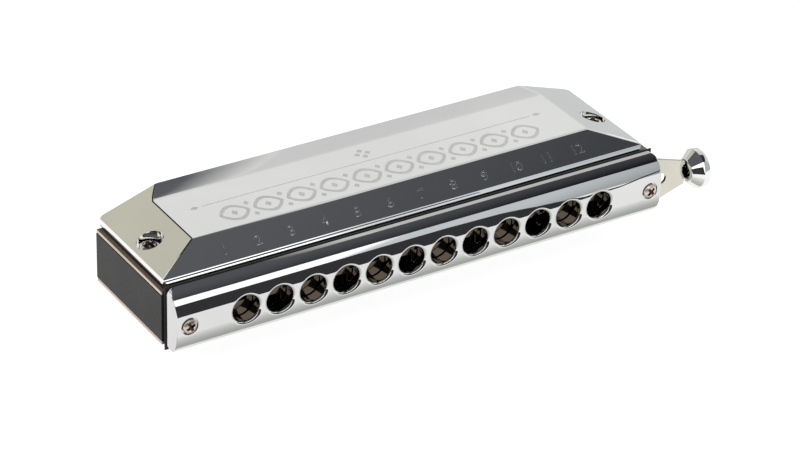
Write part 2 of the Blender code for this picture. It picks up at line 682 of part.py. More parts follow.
def make_screws():
    cover_screw = screw_mesh("cover_screw", COVER_SCREW_HEAD_R, COVER_SCREW_HEAD, COVER_SCREW_SHANK_R,
                             COVER_SCREW_LENGTH, 20)
    mouth_screw = screw_mesh("mouthpiece_screw", MOUTH_SCREW_HEAD_R, MOUTH_SCREW_HEAD,
                             MOUTH_SCREW_SHANK_R, MOUTH_SCREW_END_Y - MOUTH_SINK_Y, 20)
    seat = SEAT_FLOOR_Z + STACK_GAP
    half_turn = (0, math.radians(180), 0)
    for side, end_name in ((-1, "left"), (1, "right")):
        above = (side * COVER_SCREW_X, COVER_SCREW_Y, seat)
        below = (side * COVER_SCREW_X, COVER_SCREW_Y, -seat)
        add_object("upper_cover_screw_" + end_name, cover_screw, STEEL, above)
        add_object("lower_cover_screw_" + end_name, cover_screw, STEEL, below, half_turn)
        add_object("mouthpiece_screw_" + end_name, mouth_screw, STEEL,
                   (side * MOUTH_SCREW_X, MOUTH_SINK_Y - STACK_GAP, 0), (math.radians(90), 0, 0))


def make_plate_screws():
    """Four small screws hold each reed plate to the comb."""
    edge, crown = PLATE_SCREW_HEAD
    profile = [(0, -PLATE_SCREW_LENGTH), (PLATE_SCREW_SHANK_R, -PLATE_SCREW_LENGTH),
               (PLATE_SCREW_SHANK_R, 0), (PLATE_SCREW_HEAD_R, 0), (PLATE_SCREW_HEAD_R, edge),
               (0.6 * PLATE_SCREW_HEAD_R, crown), (0, crown)]
    mesh = lathe_mesh("plate_screw", profile, 12)
    height = PLATE_Z[1] + STACK_GAP
    half_turn = (math.radians(180), 0, 0)
    places = [(x, y) for y in PLATE_SCREW_YS for x in (-PLATE_SCREW_X, PLATE_SCREW_X)]
    for number, (x, y) in enumerate(places, start=1):
        add_object("upper_plate_screw_%d" % number, mesh, STEEL, (x, y, height))
        add_object("lower_plate_screw_%d" % number, mesh, STEEL, (x, y, -height), half_turn)


def make_cover_posts():
    """Tapped brass posts through the comb that the cover screws of both sides enter."""
    for side, end_name in ((-1, "left"), (1, "right")):
        name = "cover_post_" + end_name
        x = side * COVER_SCREW_X
        half = COMB_HALF_Z - STACK_GAP
        body = cylinders_mesh(name, [(POST_R, (x, COVER_SCREW_Y, -half), (x, COVER_SCREW_Y, half), 20)])
        post = add_object(name, body, BRASS)
        bore = (POST_BORE_R, (x, COVER_SCREW_Y, -2 * half), (x, COVER_SCREW_Y, 2 * half), 20)
        combine(post, "DIFFERENCE", "cut_" + name, cylinders_mesh("cut_post", [bore]))


# ---------------------------------------------------------------- return spring

def spring_path():
    """Hairpin spring: fixed arm on the pocket wall, coil on its post, arm hooked in the slide."""
    rise = COIL_PITCH * COIL_TURNS
    low = -rise / 2
    arm_steps = 6
    coil_steps = int(12 * COIL_TURNS)
    fixed = Vector((*SPRING_FIXED_END, low))
    first = Vector((POST_PIN_X + COIL_R, POST_PIN_Y, low))
    points = [fixed.lerp(first, step / arm_steps) for step in range(arm_steps)]
    for step in range(coil_steps + 1):
        share = step / coil_steps
        angle = 2 * math.pi * COIL_TURNS * share
        points.append(Vector((POST_PIN_X + COIL_R * math.cos(angle), POST_PIN_Y + COIL_R * math.sin(angle),
                              low + rise * share)))
    last = points[-1]
    knee = Vector((SPRING_HOLE_X, SPRING_KNEE_Y, 0))
    points += [last.lerp(knee, step / arm_steps) for step in range(1, arm_steps + 1)]
    points.append(Vector((SPRING_HOLE_X, SLIDE_Y[0] + STACK_GAP, 0)))
    return points


def make_spring():
    curve = bpy.data.curves.new("return_spring", "CURVE")
    curve.dimensions = "3D"
    curve.bevel_depth = WIRE_R
    curve.bevel_resolution = 1
    curve.use_fill_caps = True
    points = spring_path()
    spline = curve.splines.new("POLY")
    spline.points.add(len(points) - 1)
    for point, place in zip(spline.points, points):
        point.co = (*place, 1.0)
    spring = bpy.data.objects.new("return_spring", curve)
    bpy.context.collection.objects.link(spring)
    spring.parent = FRAME
    curve.materials.append(STEEL)


def make_spring_post():
    half = COMB_HALF_Z - STACK_GAP
    ends = ((POST_PIN_X, POST_PIN_Y, -half), (POST_PIN_X, POST_PIN_Y, half))
    add_object("spring_post", cylinders_mesh("spring_post", [(POST_PIN_R, *ends, 12)]), STEEL)


# ---------------------------------------------------------------- assembly

clear_scene()
FRAME = bpy.data.objects.new("body_frame", None)
bpy.context.collection.objects.link(FRAME)
FRAME.location = WORLD_SHIFT

CHROME = make_material("chrome", (0.80, 0.81, 0.82), 0.06, 1.0)
NICKEL = make_material("nickel", (0.72, 0.68, 0.60), 0.22, 1.0)
BRASS = make_material("brass", (0.72, 0.53, 0.36), 0.25, 1.0)
BRONZE = make_material("bronze", (0.75, 0.50, 0.30), 0.25, 1.0)
STEEL = make_material("steel", (0.70, 0.68, 0.66), 0.20, 1.0)
BLACK_PLASTIC = make_material("black_plastic", (0.03, 0.03, 0.03), 0.35, 0.0)
RUBBER = make_material("rubber", (0.02, 0.02, 0.02), 0.80, 0.0)

make_mouthpiece()
make_slide()
make_button()
make_sheet("slide_back_plate", BACK_PLATE_HALF, BACK_PLATE_Y, WINDOW_Z, NICKEL)
make_sheet("comb_gasket", GASKET_HALF, GASKET_Y, GASKET_WINDOW_Z, RUBBER)
make_bumpers()
make_comb()
make_reed_plate("upper_reed_plate", 1)
make_reed_plate("lower_reed_plate", -1)
for hole in range(HOLE_COUNT):
    make_outer_reed(hole, 1)
    make_outer_reed(hole, -1)
make_covers()
make_screws()
make_plate_screws()
make_cover_posts()
make_spring()
make_spring_post()
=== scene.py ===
"""Looks of a twelve-hole slide harmonica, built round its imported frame.

Lengths are millimetres times MM, in the harmonica's own axes: +X along the holes towards the
button, +Y from the mouthpiece to the open back, +Z up, zero at the middle of the hole row.
ORIGIN, read from the frame, carries them to their place in the frame.
"""
import math

import bmesh
import bpy
from mathutils import Matrix, Vector


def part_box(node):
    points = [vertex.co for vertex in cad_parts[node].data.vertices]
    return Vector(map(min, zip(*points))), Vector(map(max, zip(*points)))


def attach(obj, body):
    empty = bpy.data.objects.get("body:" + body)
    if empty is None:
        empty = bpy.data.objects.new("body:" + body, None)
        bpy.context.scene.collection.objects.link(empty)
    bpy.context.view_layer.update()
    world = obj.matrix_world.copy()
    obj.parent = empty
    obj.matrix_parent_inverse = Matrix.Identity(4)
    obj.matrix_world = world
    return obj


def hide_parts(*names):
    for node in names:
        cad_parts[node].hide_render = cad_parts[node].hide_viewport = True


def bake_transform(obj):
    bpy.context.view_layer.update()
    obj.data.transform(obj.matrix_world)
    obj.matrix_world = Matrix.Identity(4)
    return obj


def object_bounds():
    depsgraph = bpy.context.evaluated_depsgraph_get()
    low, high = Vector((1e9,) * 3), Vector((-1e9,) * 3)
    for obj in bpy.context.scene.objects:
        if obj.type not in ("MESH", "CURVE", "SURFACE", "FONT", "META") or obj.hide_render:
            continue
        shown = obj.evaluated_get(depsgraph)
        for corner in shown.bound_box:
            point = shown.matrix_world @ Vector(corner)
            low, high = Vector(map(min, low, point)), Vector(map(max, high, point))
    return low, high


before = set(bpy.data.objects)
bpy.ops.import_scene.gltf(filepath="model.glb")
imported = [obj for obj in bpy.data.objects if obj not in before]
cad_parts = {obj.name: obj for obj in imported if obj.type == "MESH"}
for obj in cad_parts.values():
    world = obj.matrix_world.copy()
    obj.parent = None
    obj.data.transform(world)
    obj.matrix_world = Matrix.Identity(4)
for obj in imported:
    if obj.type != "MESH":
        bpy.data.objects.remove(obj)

MM = 0.001
SAME_POINT = 1e-7                           # points closer than this are merged
FRAME_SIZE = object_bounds()
MOUTH_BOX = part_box("mouthpiece")
COMB_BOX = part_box("comb")
ORIGIN = Vector((0.0, MOUTH_BOX[0].y, (COMB_BOX[0].z + COMB_BOX[1].z) / 2))


def local_box(node):
    """Limits of a CAD node in the harmonica's own axes, as (x, y, z) ranges."""
    low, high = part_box(node)
    return tuple((low[i] - ORIGIN[i], high[i] - ORIGIN[i]) for i in range(3))


# Row of holes
HOLE_COUNT = 12
PITCH = 9.5 * MM
HOLE_R = 3.65 * MM

# Mouthpiece
MOUTH_HALF_X = local_box("mouthpiece")[0][1]
MOUTH_DEPTH = local_box("mouthpiece")[1][1]
MOUTH_HALF_Z = local_box("mouthpiece")[2][1]
MOUTH_FLAT_HALF_Z = 2.5 * MM
MOUTH_CORNER_R = 2.0 * MM
MOUTH_RISE = MOUTH_HALF_Z - MOUTH_FLAT_HALF_Z
MOUTH_ARC_R = (MOUTH_DEPTH ** 2 + MOUTH_RISE ** 2) / (2 * MOUTH_DEPTH)
MOUTH_END_ROUND = 0.45 * MM
RIM_ROUND = 0.95 * MM
CELL_HALF_Z = 5.0 * MM
CELL_SIDE_STEPS = 24
RING_STEPS = 7
BAND_STEPS = 18
CHANNEL_Y = 3.5 * MM
CHANNEL_HALF_Z = 6.9 * MM
CHANNEL_LEFT_X = -66.2 * MM
MOUTH_SCREW_X = 68.1 * MM
SCREW_CELL_HALF_X = 3.4 * MM
SINK_R = 2.3 * MM
SINK_Y = 0.7 * MM
SINK_ROUND = 0.15 * MM
SCREW_HOLE_R = 1.05 * MM

# Covers
COVER_X, COVER_Y, COVER_Z = local_box("upper_cover")
COVER_HALF_X = COVER_X[1]
COVER_REAR_Y = COVER_Y[1] - 0.18 * MM       # keeps the lip's edge inside the CAD cover
COVER_FOOT_Y = 7.95 * MM
COVER_FOOT_Z = COVER_Z[0]
COVER_FOLD = (8.6 * MM, 9.2 * MM)
COVER_FLAT_Y = (16.4 * MM, 37.3 * MM)
COVER_FLAT_Z = 13.3 * MM
COVER_FLAT_HALF_X = 58.5 * MM
FACET_SLOPE = (COVER_FLAT_Z - COVER_FOLD[1]) / (COVER_HALF_X - COVER_FLAT_HALF_X)
COVER_THICK = 0.42 * MM
COVER_CORNER_R = 1.8 * MM
PLAN_HEIGHT = 30 * MM                       # well above the cover
FOLD = 0.45 * MM
FOLD_ANGLE = 15                             # degrees; softer folds stay as they are
END_CHAMFER = (0.36 * MM, 0.45 * MM)
FLANGE_TILT = 38                            # degrees from upright
FLANGE_STRIP = 0.42 * MM
FLANGE_RIM = 0.40 * MM
FLANGE_STEP = 0.22 * MM
FLANGE_R = 0.45 * MM
LIP_BEND = 2.5                              # degrees each way from the lip's chord
SEAT_X = 66.0 * MM
SEAT_Y = 24.5 * MM
SEAT_R = 3.4 * MM
SEAT_FLOOR_Z = 8.2 * MM
SEAT_DROP = 0.12 * MM
POST_BORE_R = 1.4 * MM
POST_BORE_SEGMENTS = 50                     # keeps its corners off those of the seat round it

# Numbers and ornament
DIGIT_SIZE = 4.0 * MM
DIGIT_RELIEF = 0.05 * MM
DIGIT_ROUND = 0.03 * MM
DIGIT_UP_SLOPE = 0.40
ETCH_Z = (COVER_FLAT_Z - 0.05 * MM, COVER_FLAT_Z + 0.012 * MM)
RING_COUNT = 10
RING_PITCH = 9.6 * MM
RING_Y = 22.6 * MM
RING_OUTER = (4.3 * MM, 3.9 * MM)
RING_INNER = (3.3 * MM, 2.7 * MM)
RULE_Y = 29.2 * MM
RULE_HALF = (49 * MM, 0.15 * MM)
RULE_END_X = 51 * MM
CLUSTER_Y = 33.0 * MM
CLUSTER_R = 1.5 * MM
RING_DIAMOND = (0.9 * MM, 1.3 * MM)         # half widths: inside a ring
GAP_DIAMOND = (0.8 * MM, 1.0 * MM)          # before and behind the gap between two rings
GAP_REACH = 2.9 * MM
RULE_DIAMOND = (1.3 * MM, 0.8 * MM)
CLUSTER_DIAMOND = (0.9 * MM, 0.9 * MM)

# Screws
COVER_SCREW_HEAD = 1.5 * MM
COVER_SCREW_SHANK = (1.1 * MM, 7.0 * MM)
MOUTH_SCREW_HEAD = 1.2 * MM
MOUTH_SCREW_SHANK_R = 0.75 * MM
RECESS_ARM = (0.62, 0.21)                   # half length and half width, as shares of the head's radius
RECESS_DEPTH = 0.75                         # share of the head's height

# Button
KNOB_NECK_R = 3.3 * MM
KNOB_BORE = (2.15 * MM, 3.5 * MM)
KNOB_CONE = 2.7 * MM
KNOB_RIM = 1.8 * MM
KNOB_DOME = 0.9 * MM
KNOB_SOFT = 0.22 * MM

# Return spring
COIL_CENTRE = (60.1 * MM, 12.0 * MM)
COIL_R = 1.45 * MM
COIL_TURNS = 2.5
COIL_PITCH = 0.8 * MM
WIRE_R = 0.25 * MM
FIXED_LEG_END = (64.6 * MM, 8.2 * MM)
SLIDE_HOLE_X = 62.5 * MM
HOOK_Y = (5.85 * MM, 5.2 * MM, 4.6 * MM, 4.05 * MM)

# Painted shade strips and valves on the reed plates
SHADE_STRIP_Z = (7.56 * MM, 7.95 * MM)
SHADE_STRIP_END_GAP = 0.3 * MM
SHADE_STRIP_FRONT_GAP = 0.1 * MM
SHADE_STRIP_BACK_GAP = 0.15 * MM
VALVE_START_Y = 10.4 * MM
VALVE_LENGTHS = (24.4 * MM, 11.9 * MM)      # first hole and last hole
VALVE_HALF_X = 1.35 * MM
VALVE_THICK = 0.09 * MM
VALVE_Z = 7.56 * MM
VALVE_LIFT = 0.5 * MM

# Studio; colours are linear
FLOOR_HALF = 4.0
FLOOR_GLOW = 0.84
CEILING_GREY = (0.117, 0.119, 0.131)
SKY = [(0.0, (0.66, 0.68, 0.68)), (0.25, (0.76, 0.77, 0.76)), (0.48, (0.90, 0.90, 0.885)),
       (0.75, (0.72, 0.72, 0.72))]          # by the height of the direction, 0 level and 1 straight up
LIGHT_SIZE = 0.5
LIGHT_POWER = 3.0
CAMERA_ANGLES = (-32.627, 30.413, 1.899)    # azimuth, elevation and roll in degrees
CAMERA_DISTANCE = 0.80957
CAMERA_TARGET = (-8.928 * MM, 0, 11.611 * MM)
CAMERA_LENS = 146.86


# ---------------------------------------------------------------- mesh helpers

def tidy_shading(mesh, sharp_angle=35):
    """Smooth shading that keeps the edges sharper than an angle in degrees."""
    mesh.shade_smooth()
    mesh.set_sharp_from_angle(angle=math.radians(sharp_angle))
    return mesh


def mesh_from(name, bm, sharp_angle=35):
    """Finish a bmesh as a mesh with tidy shading."""
    bmesh.ops.recalc_face_normals(bm, faces=bm.faces)
    mesh = bpy.data.meshes.new(name)
    bm.to_mesh(mesh)
    bm.free()
    return tidy_shading(mesh, sharp_angle)


def new_object(name, data):
    made = bpy.data.objects.new(name, data)
    bpy.context.scene.collection.objects.link(made)
    return made


def baked(host, helpers=()):
    """Mesh an object shows with its modifiers; the object and its helpers are removed."""
    bpy.context.view_layer.update()
    evaluated = host.evaluated_get(bpy.context.evaluated_depsgraph_get())
    mesh = bpy.data.meshes.new_from_object(evaluated)
    for item in (host, *helpers):
        bpy.data.objects.remove(item, do_unlink=True)
    return mesh


def carved(mesh, steps):
    """Mesh after Boolean steps, each an operation and the mesh it uses."""
    host = new_object("carve_host", mesh)
    cutters = []
    for operation, cutter_mesh in steps:
        cutter = new_object("cutter", cutter_mesh)
        modifier = host.modifiers.new("carve", "BOOLEAN")
        modifier.operation = operation
        modifier.solver = "EXACT"
        modifier.object = cutter
        cutters.append(cutter)
    return baked(host, cutters)


def add_piece(name, mesh, material, body, replaced=()):
    """Link a piece in its place and make it ride on its body."""
    piece = new_object(name, mesh)
    piece.location = ORIGIN
    mesh.materials.clear()
    mesh.materials.append(material)
    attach(piece, body)
    if replaced:
        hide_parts(*replaced)
    return piece


def soften_edges(piece, width, angle=40):
    """Break the sharp edges of a piece, and keep its large faces flat."""
    bevel = piece.modifiers.new("broken_edges", "BEVEL")
    bevel.width = width
    bevel.segments = 3
    bevel.limit_method = "ANGLE"
    bevel.angle_limit = math.radians(angle)
    bevel.harden_normals = False
    weighted = piece.modifiers.new("flat_faces", "WEIGHTED_NORMAL")
    weighted.weight = 100
    weighted.keep_sharp = True


def box_mesh(x_range, y_range, z_range):
    bm = bmesh.new()
    corners = [bm.verts.new((x, y, z)) for x in x_range for y in y_range for z in z_range]
    for ring in ((0, 1, 3, 2), (4, 6, 7, 5), (0, 4, 5, 1), (2, 3, 7, 6), (0, 2, 6, 4), (1, 5, 7, 3)):
        bm.faces.new([corners[i] for i in ring])
    return mesh_from("box", bm)


def lathe(name, profile, segments, sharp_angle=35):
    """Turn a profile of (radius, height) points about Z, both ends on the axis."""
    bm = bmesh.new()
    verts = [bm.verts.new((radius, 0, height)) for radius, height in profile]
    edges = [bm.edges.new(pair) for pair in zip(verts, verts[1:])]
    bmesh.ops.spin(bm, geom=verts + edges, cent=(0, 0, 0), axis=(0, 0, 1),
                   angle=2 * math.pi, steps=segments, use_merge=True)
    bmesh.ops.remove_doubles(bm, verts=bm.verts, dist=SAME_POINT)
    return mesh_from(name, bm, sharp_angle)


def even(start, end, steps):
    return [start + (end - start) * i / steps for i in range(steps + 1)]


def arc(centre, radius, start, end, steps):
    """Points of an arc in a plane, angles in degrees."""
    points = []
    for angle in even(math.radians(start), math.radians(end), steps):
        points.append((centre[0] + radius * math.cos(angle), centre[1] + radius * math.sin(angle)))
    return points


def hole_x(index):
    """Middle of a hole, counted from 0 at the left."""
    return (index - (HOLE_COUNT - 1) / 2) * PITCH


# ---------------------------------------------------------------- materials

def link(tree, start, end):
    tree.links.new(start, end)


def noise(tree, coordinates, scale, detail, stretch=(1, 1, 1)):
    """Noise value in the object's own space, drawn out along an axis by stretch."""
    mapping = tree.nodes.new("ShaderNodeMapping")
    mapping.inputs["Scale"].default_value = stretch
    link(tree, coordinates, mapping.inputs["Vector"])
    node = tree.nodes.new("ShaderNodeTexNoise")
    node.inputs["Scale"].default_value = scale
    node.inputs["Detail"].default_value = detail
    link(tree, mapping.outputs["Vector"], node.inputs["Vector"])
    return node.outputs["Fac"]


def spread(tree, value, low, high, start=0.35, end=0.65):
    """Map start..end of a value to low..high, by default the middle part of a noise."""
    node = tree.nodes.new("ShaderNodeMapRange")
    node.inputs["From Min"].default_value = start
    node.inputs["From Max"].default_value = end
    node.inputs["To Min"].default_value = low
    node.inputs["To Max"].default_value = high
    link(tree, value, node.inputs["Value"])
    return node.outputs["Result"]


def blend_colours(tree, factor, first, second):
    node = tree.nodes.new("ShaderNodeMix")
    node.data_type = "RGBA"
    node.inputs["A"].default_value = (*first, 1.0)
    node.inputs["B"].default_value = (*second, 1.0)
    link(tree, factor, node.inputs["Factor"])
    return node.outputs["Result"]


def surface(name, colours, roughness, metallic, cloud, grain, stretch=(1, 1, 1), bump=0.0,
            bump_depth=0.00001, specular=0.5):
    """Material with clouded colour, uneven polish and a fine grain."""
    material = bpy.data.materials.new(name)
    material.use_nodes = True
    tree = material.node_tree
    shader = tree.nodes["Principled BSDF"]
    coordinates = tree.nodes.new("ShaderNodeTexCoord").outputs["Object"]
    clouds = noise(tree, coordinates, cloud, 3.0)
    fine = noise(tree, coordinates, grain, 5.0, stretch)
    link(tree, blend_colours(tree, spread(tree, clouds, 0.0, 1.0), *colours), shader.inputs["Base Color"])
    link(tree, spread(tree, fine, *roughness), shader.inputs["Roughness"])
    shader.inputs["Metallic"].default_value = metallic
    shader.inputs["Specular IOR Level"].default_value = specular
    if bump > 0.0:
        node = tree.nodes.new("ShaderNodeBump")
        node.inputs["Strength"].default_value = bump
        node.inputs["Distance"].default_value = bump_depth
        link(tree, fine, node.inputs["Height"])
        link(tree, node.outputs["Normal"], shader.inputs["Normal"])
    return material


def paint_shade(material, axis, start, end, colour):
    """Paint shade on a material: darken it where the distance from the middle along an axis goes from start
    to end.
    """
    tree = material.node_tree
    shader = tree.nodes["Principled BSDF"]
    unshaded_colour = shader.inputs["Base Color"].links[0].from_socket
    split = tree.nodes.new("ShaderNodeSeparateXYZ")
    link(tree, tree.nodes.new("ShaderNodeTexCoord").outputs["Object"], split.inputs["Vector"])
    size = tree.nodes.new("ShaderNodeMath")
    size.operation = "ABSOLUTE"
    link(tree, split.outputs[axis], size.inputs[0])
    mix = tree.nodes.new("ShaderNodeMix")
    mix.data_type = "RGBA"
    link(tree, spread(tree, size.outputs["Value"], 0.0, 1.0, start, end), mix.inputs["Factor"])
    link(tree, unshaded_colour, mix.inputs["A"])
    mix.inputs["B"].default_value = (*colour, 1.0)
    link(tree, mix.outputs["Result"], shader.inputs["Base Color"])


COVER_CHROME = surface("cover_chrome", ((0.81, 0.815, 0.805), (0.77, 0.775, 0.77)), (0.03, 0.06), 1.0,
                       cloud=35.0, grain=900.0, stretch=(0.15, 1, 1))
MOUTH_CHROME = surface("mouth_chrome", ((0.665, 0.67, 0.66), (0.635, 0.64, 0.63)), (0.02, 0.05), 1.0,
                       cloud=40.0, grain=700.0)
ETCHED = surface("etched_chrome", ((0.66, 0.665, 0.66), (0.60, 0.605, 0.60)), (0.22, 0.40), 1.0,
                 cloud=200.0, grain=4000.0, bump=0.2)
KNOB_CHROME = surface("knob_chrome", ((0.80, 0.80, 0.79), (0.76, 0.76, 0.75)), (0.02, 0.05), 1.0,
                      cloud=90.0, grain=1200.0, stretch=(0.2, 1, 1))
NICKEL = surface("lever_nickel", ((0.61, 0.59, 0.515), (0.56, 0.54, 0.47)), (0.05, 0.10), 1.0,
                 cloud=120.0, grain=2500.0, stretch=(0.1, 1, 1), bump=0.15, bump_depth=0.000004)
SCREW_NICKEL = surface("screw_nickel", ((0.74, 0.65, 0.59), (0.62, 0.54, 0.49)), (0.28, 0.42), 1.0,
                       cloud=500.0, grain=3000.0, bump=0.1)
SCREW_CHROME = surface("screw_chrome", ((0.80, 0.78, 0.75), (0.70, 0.66, 0.60)), (0.06, 0.14), 1.0,
                       cloud=400.0, grain=2500.0)
STEEL = surface("spring_steel", ((0.55, 0.55, 0.56), (0.42, 0.42, 0.43)), (0.20, 0.35), 1.0,
                cloud=300.0, grain=3000.0, bump=0.1)
BRASS = surface("plate_brass", ((0.60, 0.49, 0.42), (0.50, 0.40, 0.33)), (0.22, 0.38), 1.0,
                cloud=90.0, grain=2200.0, stretch=(0.08, 1, 1), bump=0.2, bump_depth=0.000006)
BRONZE = surface("reed_bronze", ((0.72, 0.55, 0.36), (0.60, 0.43, 0.27)), (0.18, 0.32), 1.0,
                 cloud=160.0, grain=3000.0, stretch=(1, 0.08, 1), bump=0.2, bump_depth=0.000005)
COMB_PLASTIC = surface("comb_plastic", ((0.013, 0.013, 0.012), (0.008, 0.008, 0.0075)), (0.26, 0.38), 0.0,
                       cloud=70.0, grain=3500.0, bump=0.25, specular=0.12)
# Black rubber of the gasket and bumpers, also used for the painted shade strips in front of the covers
BLACK_RUBBER_AND_SHADE = surface("black_rubber_and_shade", ((0.016, 0.016, 0.017), (0.010, 0.010, 0.011)), (0.55, 0.75), 0.0,
                        cloud=200.0, grain=5000.0, bump=0.4)
# Painted shade: dark colour for the faces inside the screws' cross recesses
RECESS_SHADE = surface("screw_recess_shade", ((0.16, 0.11, 0.08), (0.08, 0.055, 0.04)), (0.30, 0.50), 1.0,
                       cloud=600.0, grain=3000.0, bump=0.1)
VALVE_FILM = surface("valve_film", ((0.62, 0.60, 0.52), (0.50, 0.48, 0.42)), (0.25, 0.45), 0.0,
                     cloud=150.0, grain=2500.0, stretch=(1, 0.1, 1), bump=0.2)

# Painted shade: the slide inside the mouthpiece, the covers' feet and the reed plates' outer faces are
# darkened where shade falls on them
paint_shade(NICKEL, "X", 72.0 * MM, 70.5 * MM, (0.095, 0.075, 0.057))
paint_shade(COVER_CHROME, "Z", 8.12 * MM, 7.98 * MM, (0.17, 0.15, 0.13))
paint_shade(BRASS, "Z", 7.38 * MM, 7.48 * MM, (0.19, 0.15, 0.125))


# ---------------------------------------------------------------- mouthpiece

def fillet(distance, radius):
    """Depth of a quarter round at a distance from the edge it rounds."""
    if distance >= radius:
        return 0.0
    return radius - math.sqrt(max(0.0, radius ** 2 - (radius - distance) ** 2))


def mouth_depth(x, z):
    """How far the mouthpiece's skin lies behind its front plane."""
    rise = max(0.0, abs(z) - MOUTH_FLAT_HALF_Z)
    back = MOUTH_ARC_R - math.sqrt(MOUTH_ARC_R ** 2 - min(rise, MOUTH_RISE) ** 2)
    return min(MOUTH_DEPTH, back + fillet(MOUTH_HALF_X - abs(x), MOUTH_END_ROUND))


def mouth_half_height(x):
    """Half height of the rounded front outline at a place along it."""
    run = abs(x) - (MOUTH_HALF_X - MOUTH_CORNER_R)
    if run <= 0:
        return MOUTH_HALF_Z
    return MOUTH_HALF_Z - MOUTH_CORNER_R + math.sqrt(max(0.0, MOUTH_CORNER_R ** 2 - run ** 2))


def bridge_rows(bm, rows, closed):
    """Fill quads between rows of vertices."""
    for first, second in zip(rows, rows[1:]):
        count = len(first) if closed else len(first) - 1
        for i in range(count):
            j = (i + 1) % len(first)
            bm.faces.new((first[i], first[j], second[j], second[i]))


def cell_rim(x_range):
    """Points round a cell's rectangle, evenly spaced on each side."""
    x0, x1 = x_range
    corners = [(x1, -CELL_HALF_Z), (x1, CELL_HALF_Z), (x0, CELL_HALF_Z), (x0, -CELL_HALF_Z)]
    points = []
    for side in range(4):
        start, end = corners[side], corners[(side + 1) % 4]
        for step in range(CELL_SIDE_STEPS):
            share = step / CELL_SIDE_STEPS
            points.append((start[0] + (end[0] - start[0]) * share, start[1] + (end[1] - start[1]) * share))
    return points


def add_cell(bm, centre, x_range, rim, inner):
    """Skin round one bore: rim holds (radius, drop) pairs outwards, inner (radius, y) pairs inwards."""
    border = cell_rim(x_range)
    count = len(border)
    angles = [math.radians(-45 + 360 * i / count) for i in range(count)]
    rows = []
    for radius, y in reversed(inner):
        rows.append([bm.verts.new((centre + radius * math.cos(a), y, radius * math.sin(a))) for a in angles])
    for radius, drop in rim:
        row = []
        for a in angles:
            x, z = centre + radius * math.cos(a), radius * math.sin(a)
            row.append(bm.verts.new((x, mouth_depth(x, z) + drop, z)))
        rows.append(row)
    radius = rim[-1][0]
    for step in range(1, RING_STEPS + 1):
        share = step / RING_STEPS
        row = []
        for a, (bx, bz) in zip(angles, border):
            x = (centre + radius * math.cos(a)) * (1 - share) + bx * share
            z = radius * math.sin(a) * (1 - share) + bz * share
            row.append(bm.verts.new((x, mouth_depth(x, z), z)))
        rows.append(row)
    bridge_rows(bm, rows, True)


def add_columns(bm, xs, height_rows):
    """Skin over a run of columns; height_rows(x) gives the heights of a column's points."""
    rows = [[bm.verts.new((x, mouth_depth(x, z), z)) for z in height_rows(x)] for x in xs]
    bridge_rows(bm, rows, False)


def cell_heights(x):
    """Heights over a cell's side, the same in every column."""
    return even(-CELL_HALF_Z, CELL_HALF_Z, CELL_SIDE_STEPS)


def band_heights(side):
    """Heights over the curved part of the skin, evenly spaced in angle."""
    def heights(x):
        start = math.asin((CELL_HALF_Z - MOUTH_FLAT_HALF_Z) / MOUTH_ARC_R)
        end = math.asin((mouth_half_height(x) - MOUTH_FLAT_HALF_Z) / MOUTH_ARC_R)
        return [side * (MOUTH_FLAT_HALF_Z + MOUTH_ARC_R * math.sin(a)) for a in even(start, end, BAND_STEPS)]
    return heights


def close_back(bm):
    """Carry every open edge of the skin to the back plane and fill that plane."""
    bmesh.ops.remove_doubles(bm, verts=bm.verts, dist=SAME_POINT)
    border = [e for e in bm.edges if e.is_boundary]
    grown = bmesh.ops.extrude_edge_only(bm, edges=border)
    for vert in [g for g in grown["geom"] if isinstance(g, bmesh.types.BMVert)]:
        vert.co.y = MOUTH_DEPTH
    bmesh.ops.remove_doubles(bm, verts=bm.verts, dist=SAME_POINT)
    bmesh.ops.dissolve_degenerate(bm, dist=1e-8, edges=bm.edges)
    border = [e for e in bm.edges if e.is_boundary]
    bmesh.ops.triangle_fill(bm, use_beauty=True, use_dissolve=False, edges=border, normal=(0, 1, 0))


def rounded_rim(radius, round_off, steps):
    """(radius, drop) pairs of a rounded edge round a bore."""
    return [(radius + round_off * (1 - math.cos(a)), round_off * (1 - math.sin(a)))
            for a in even(0, math.pi / 2, steps)]


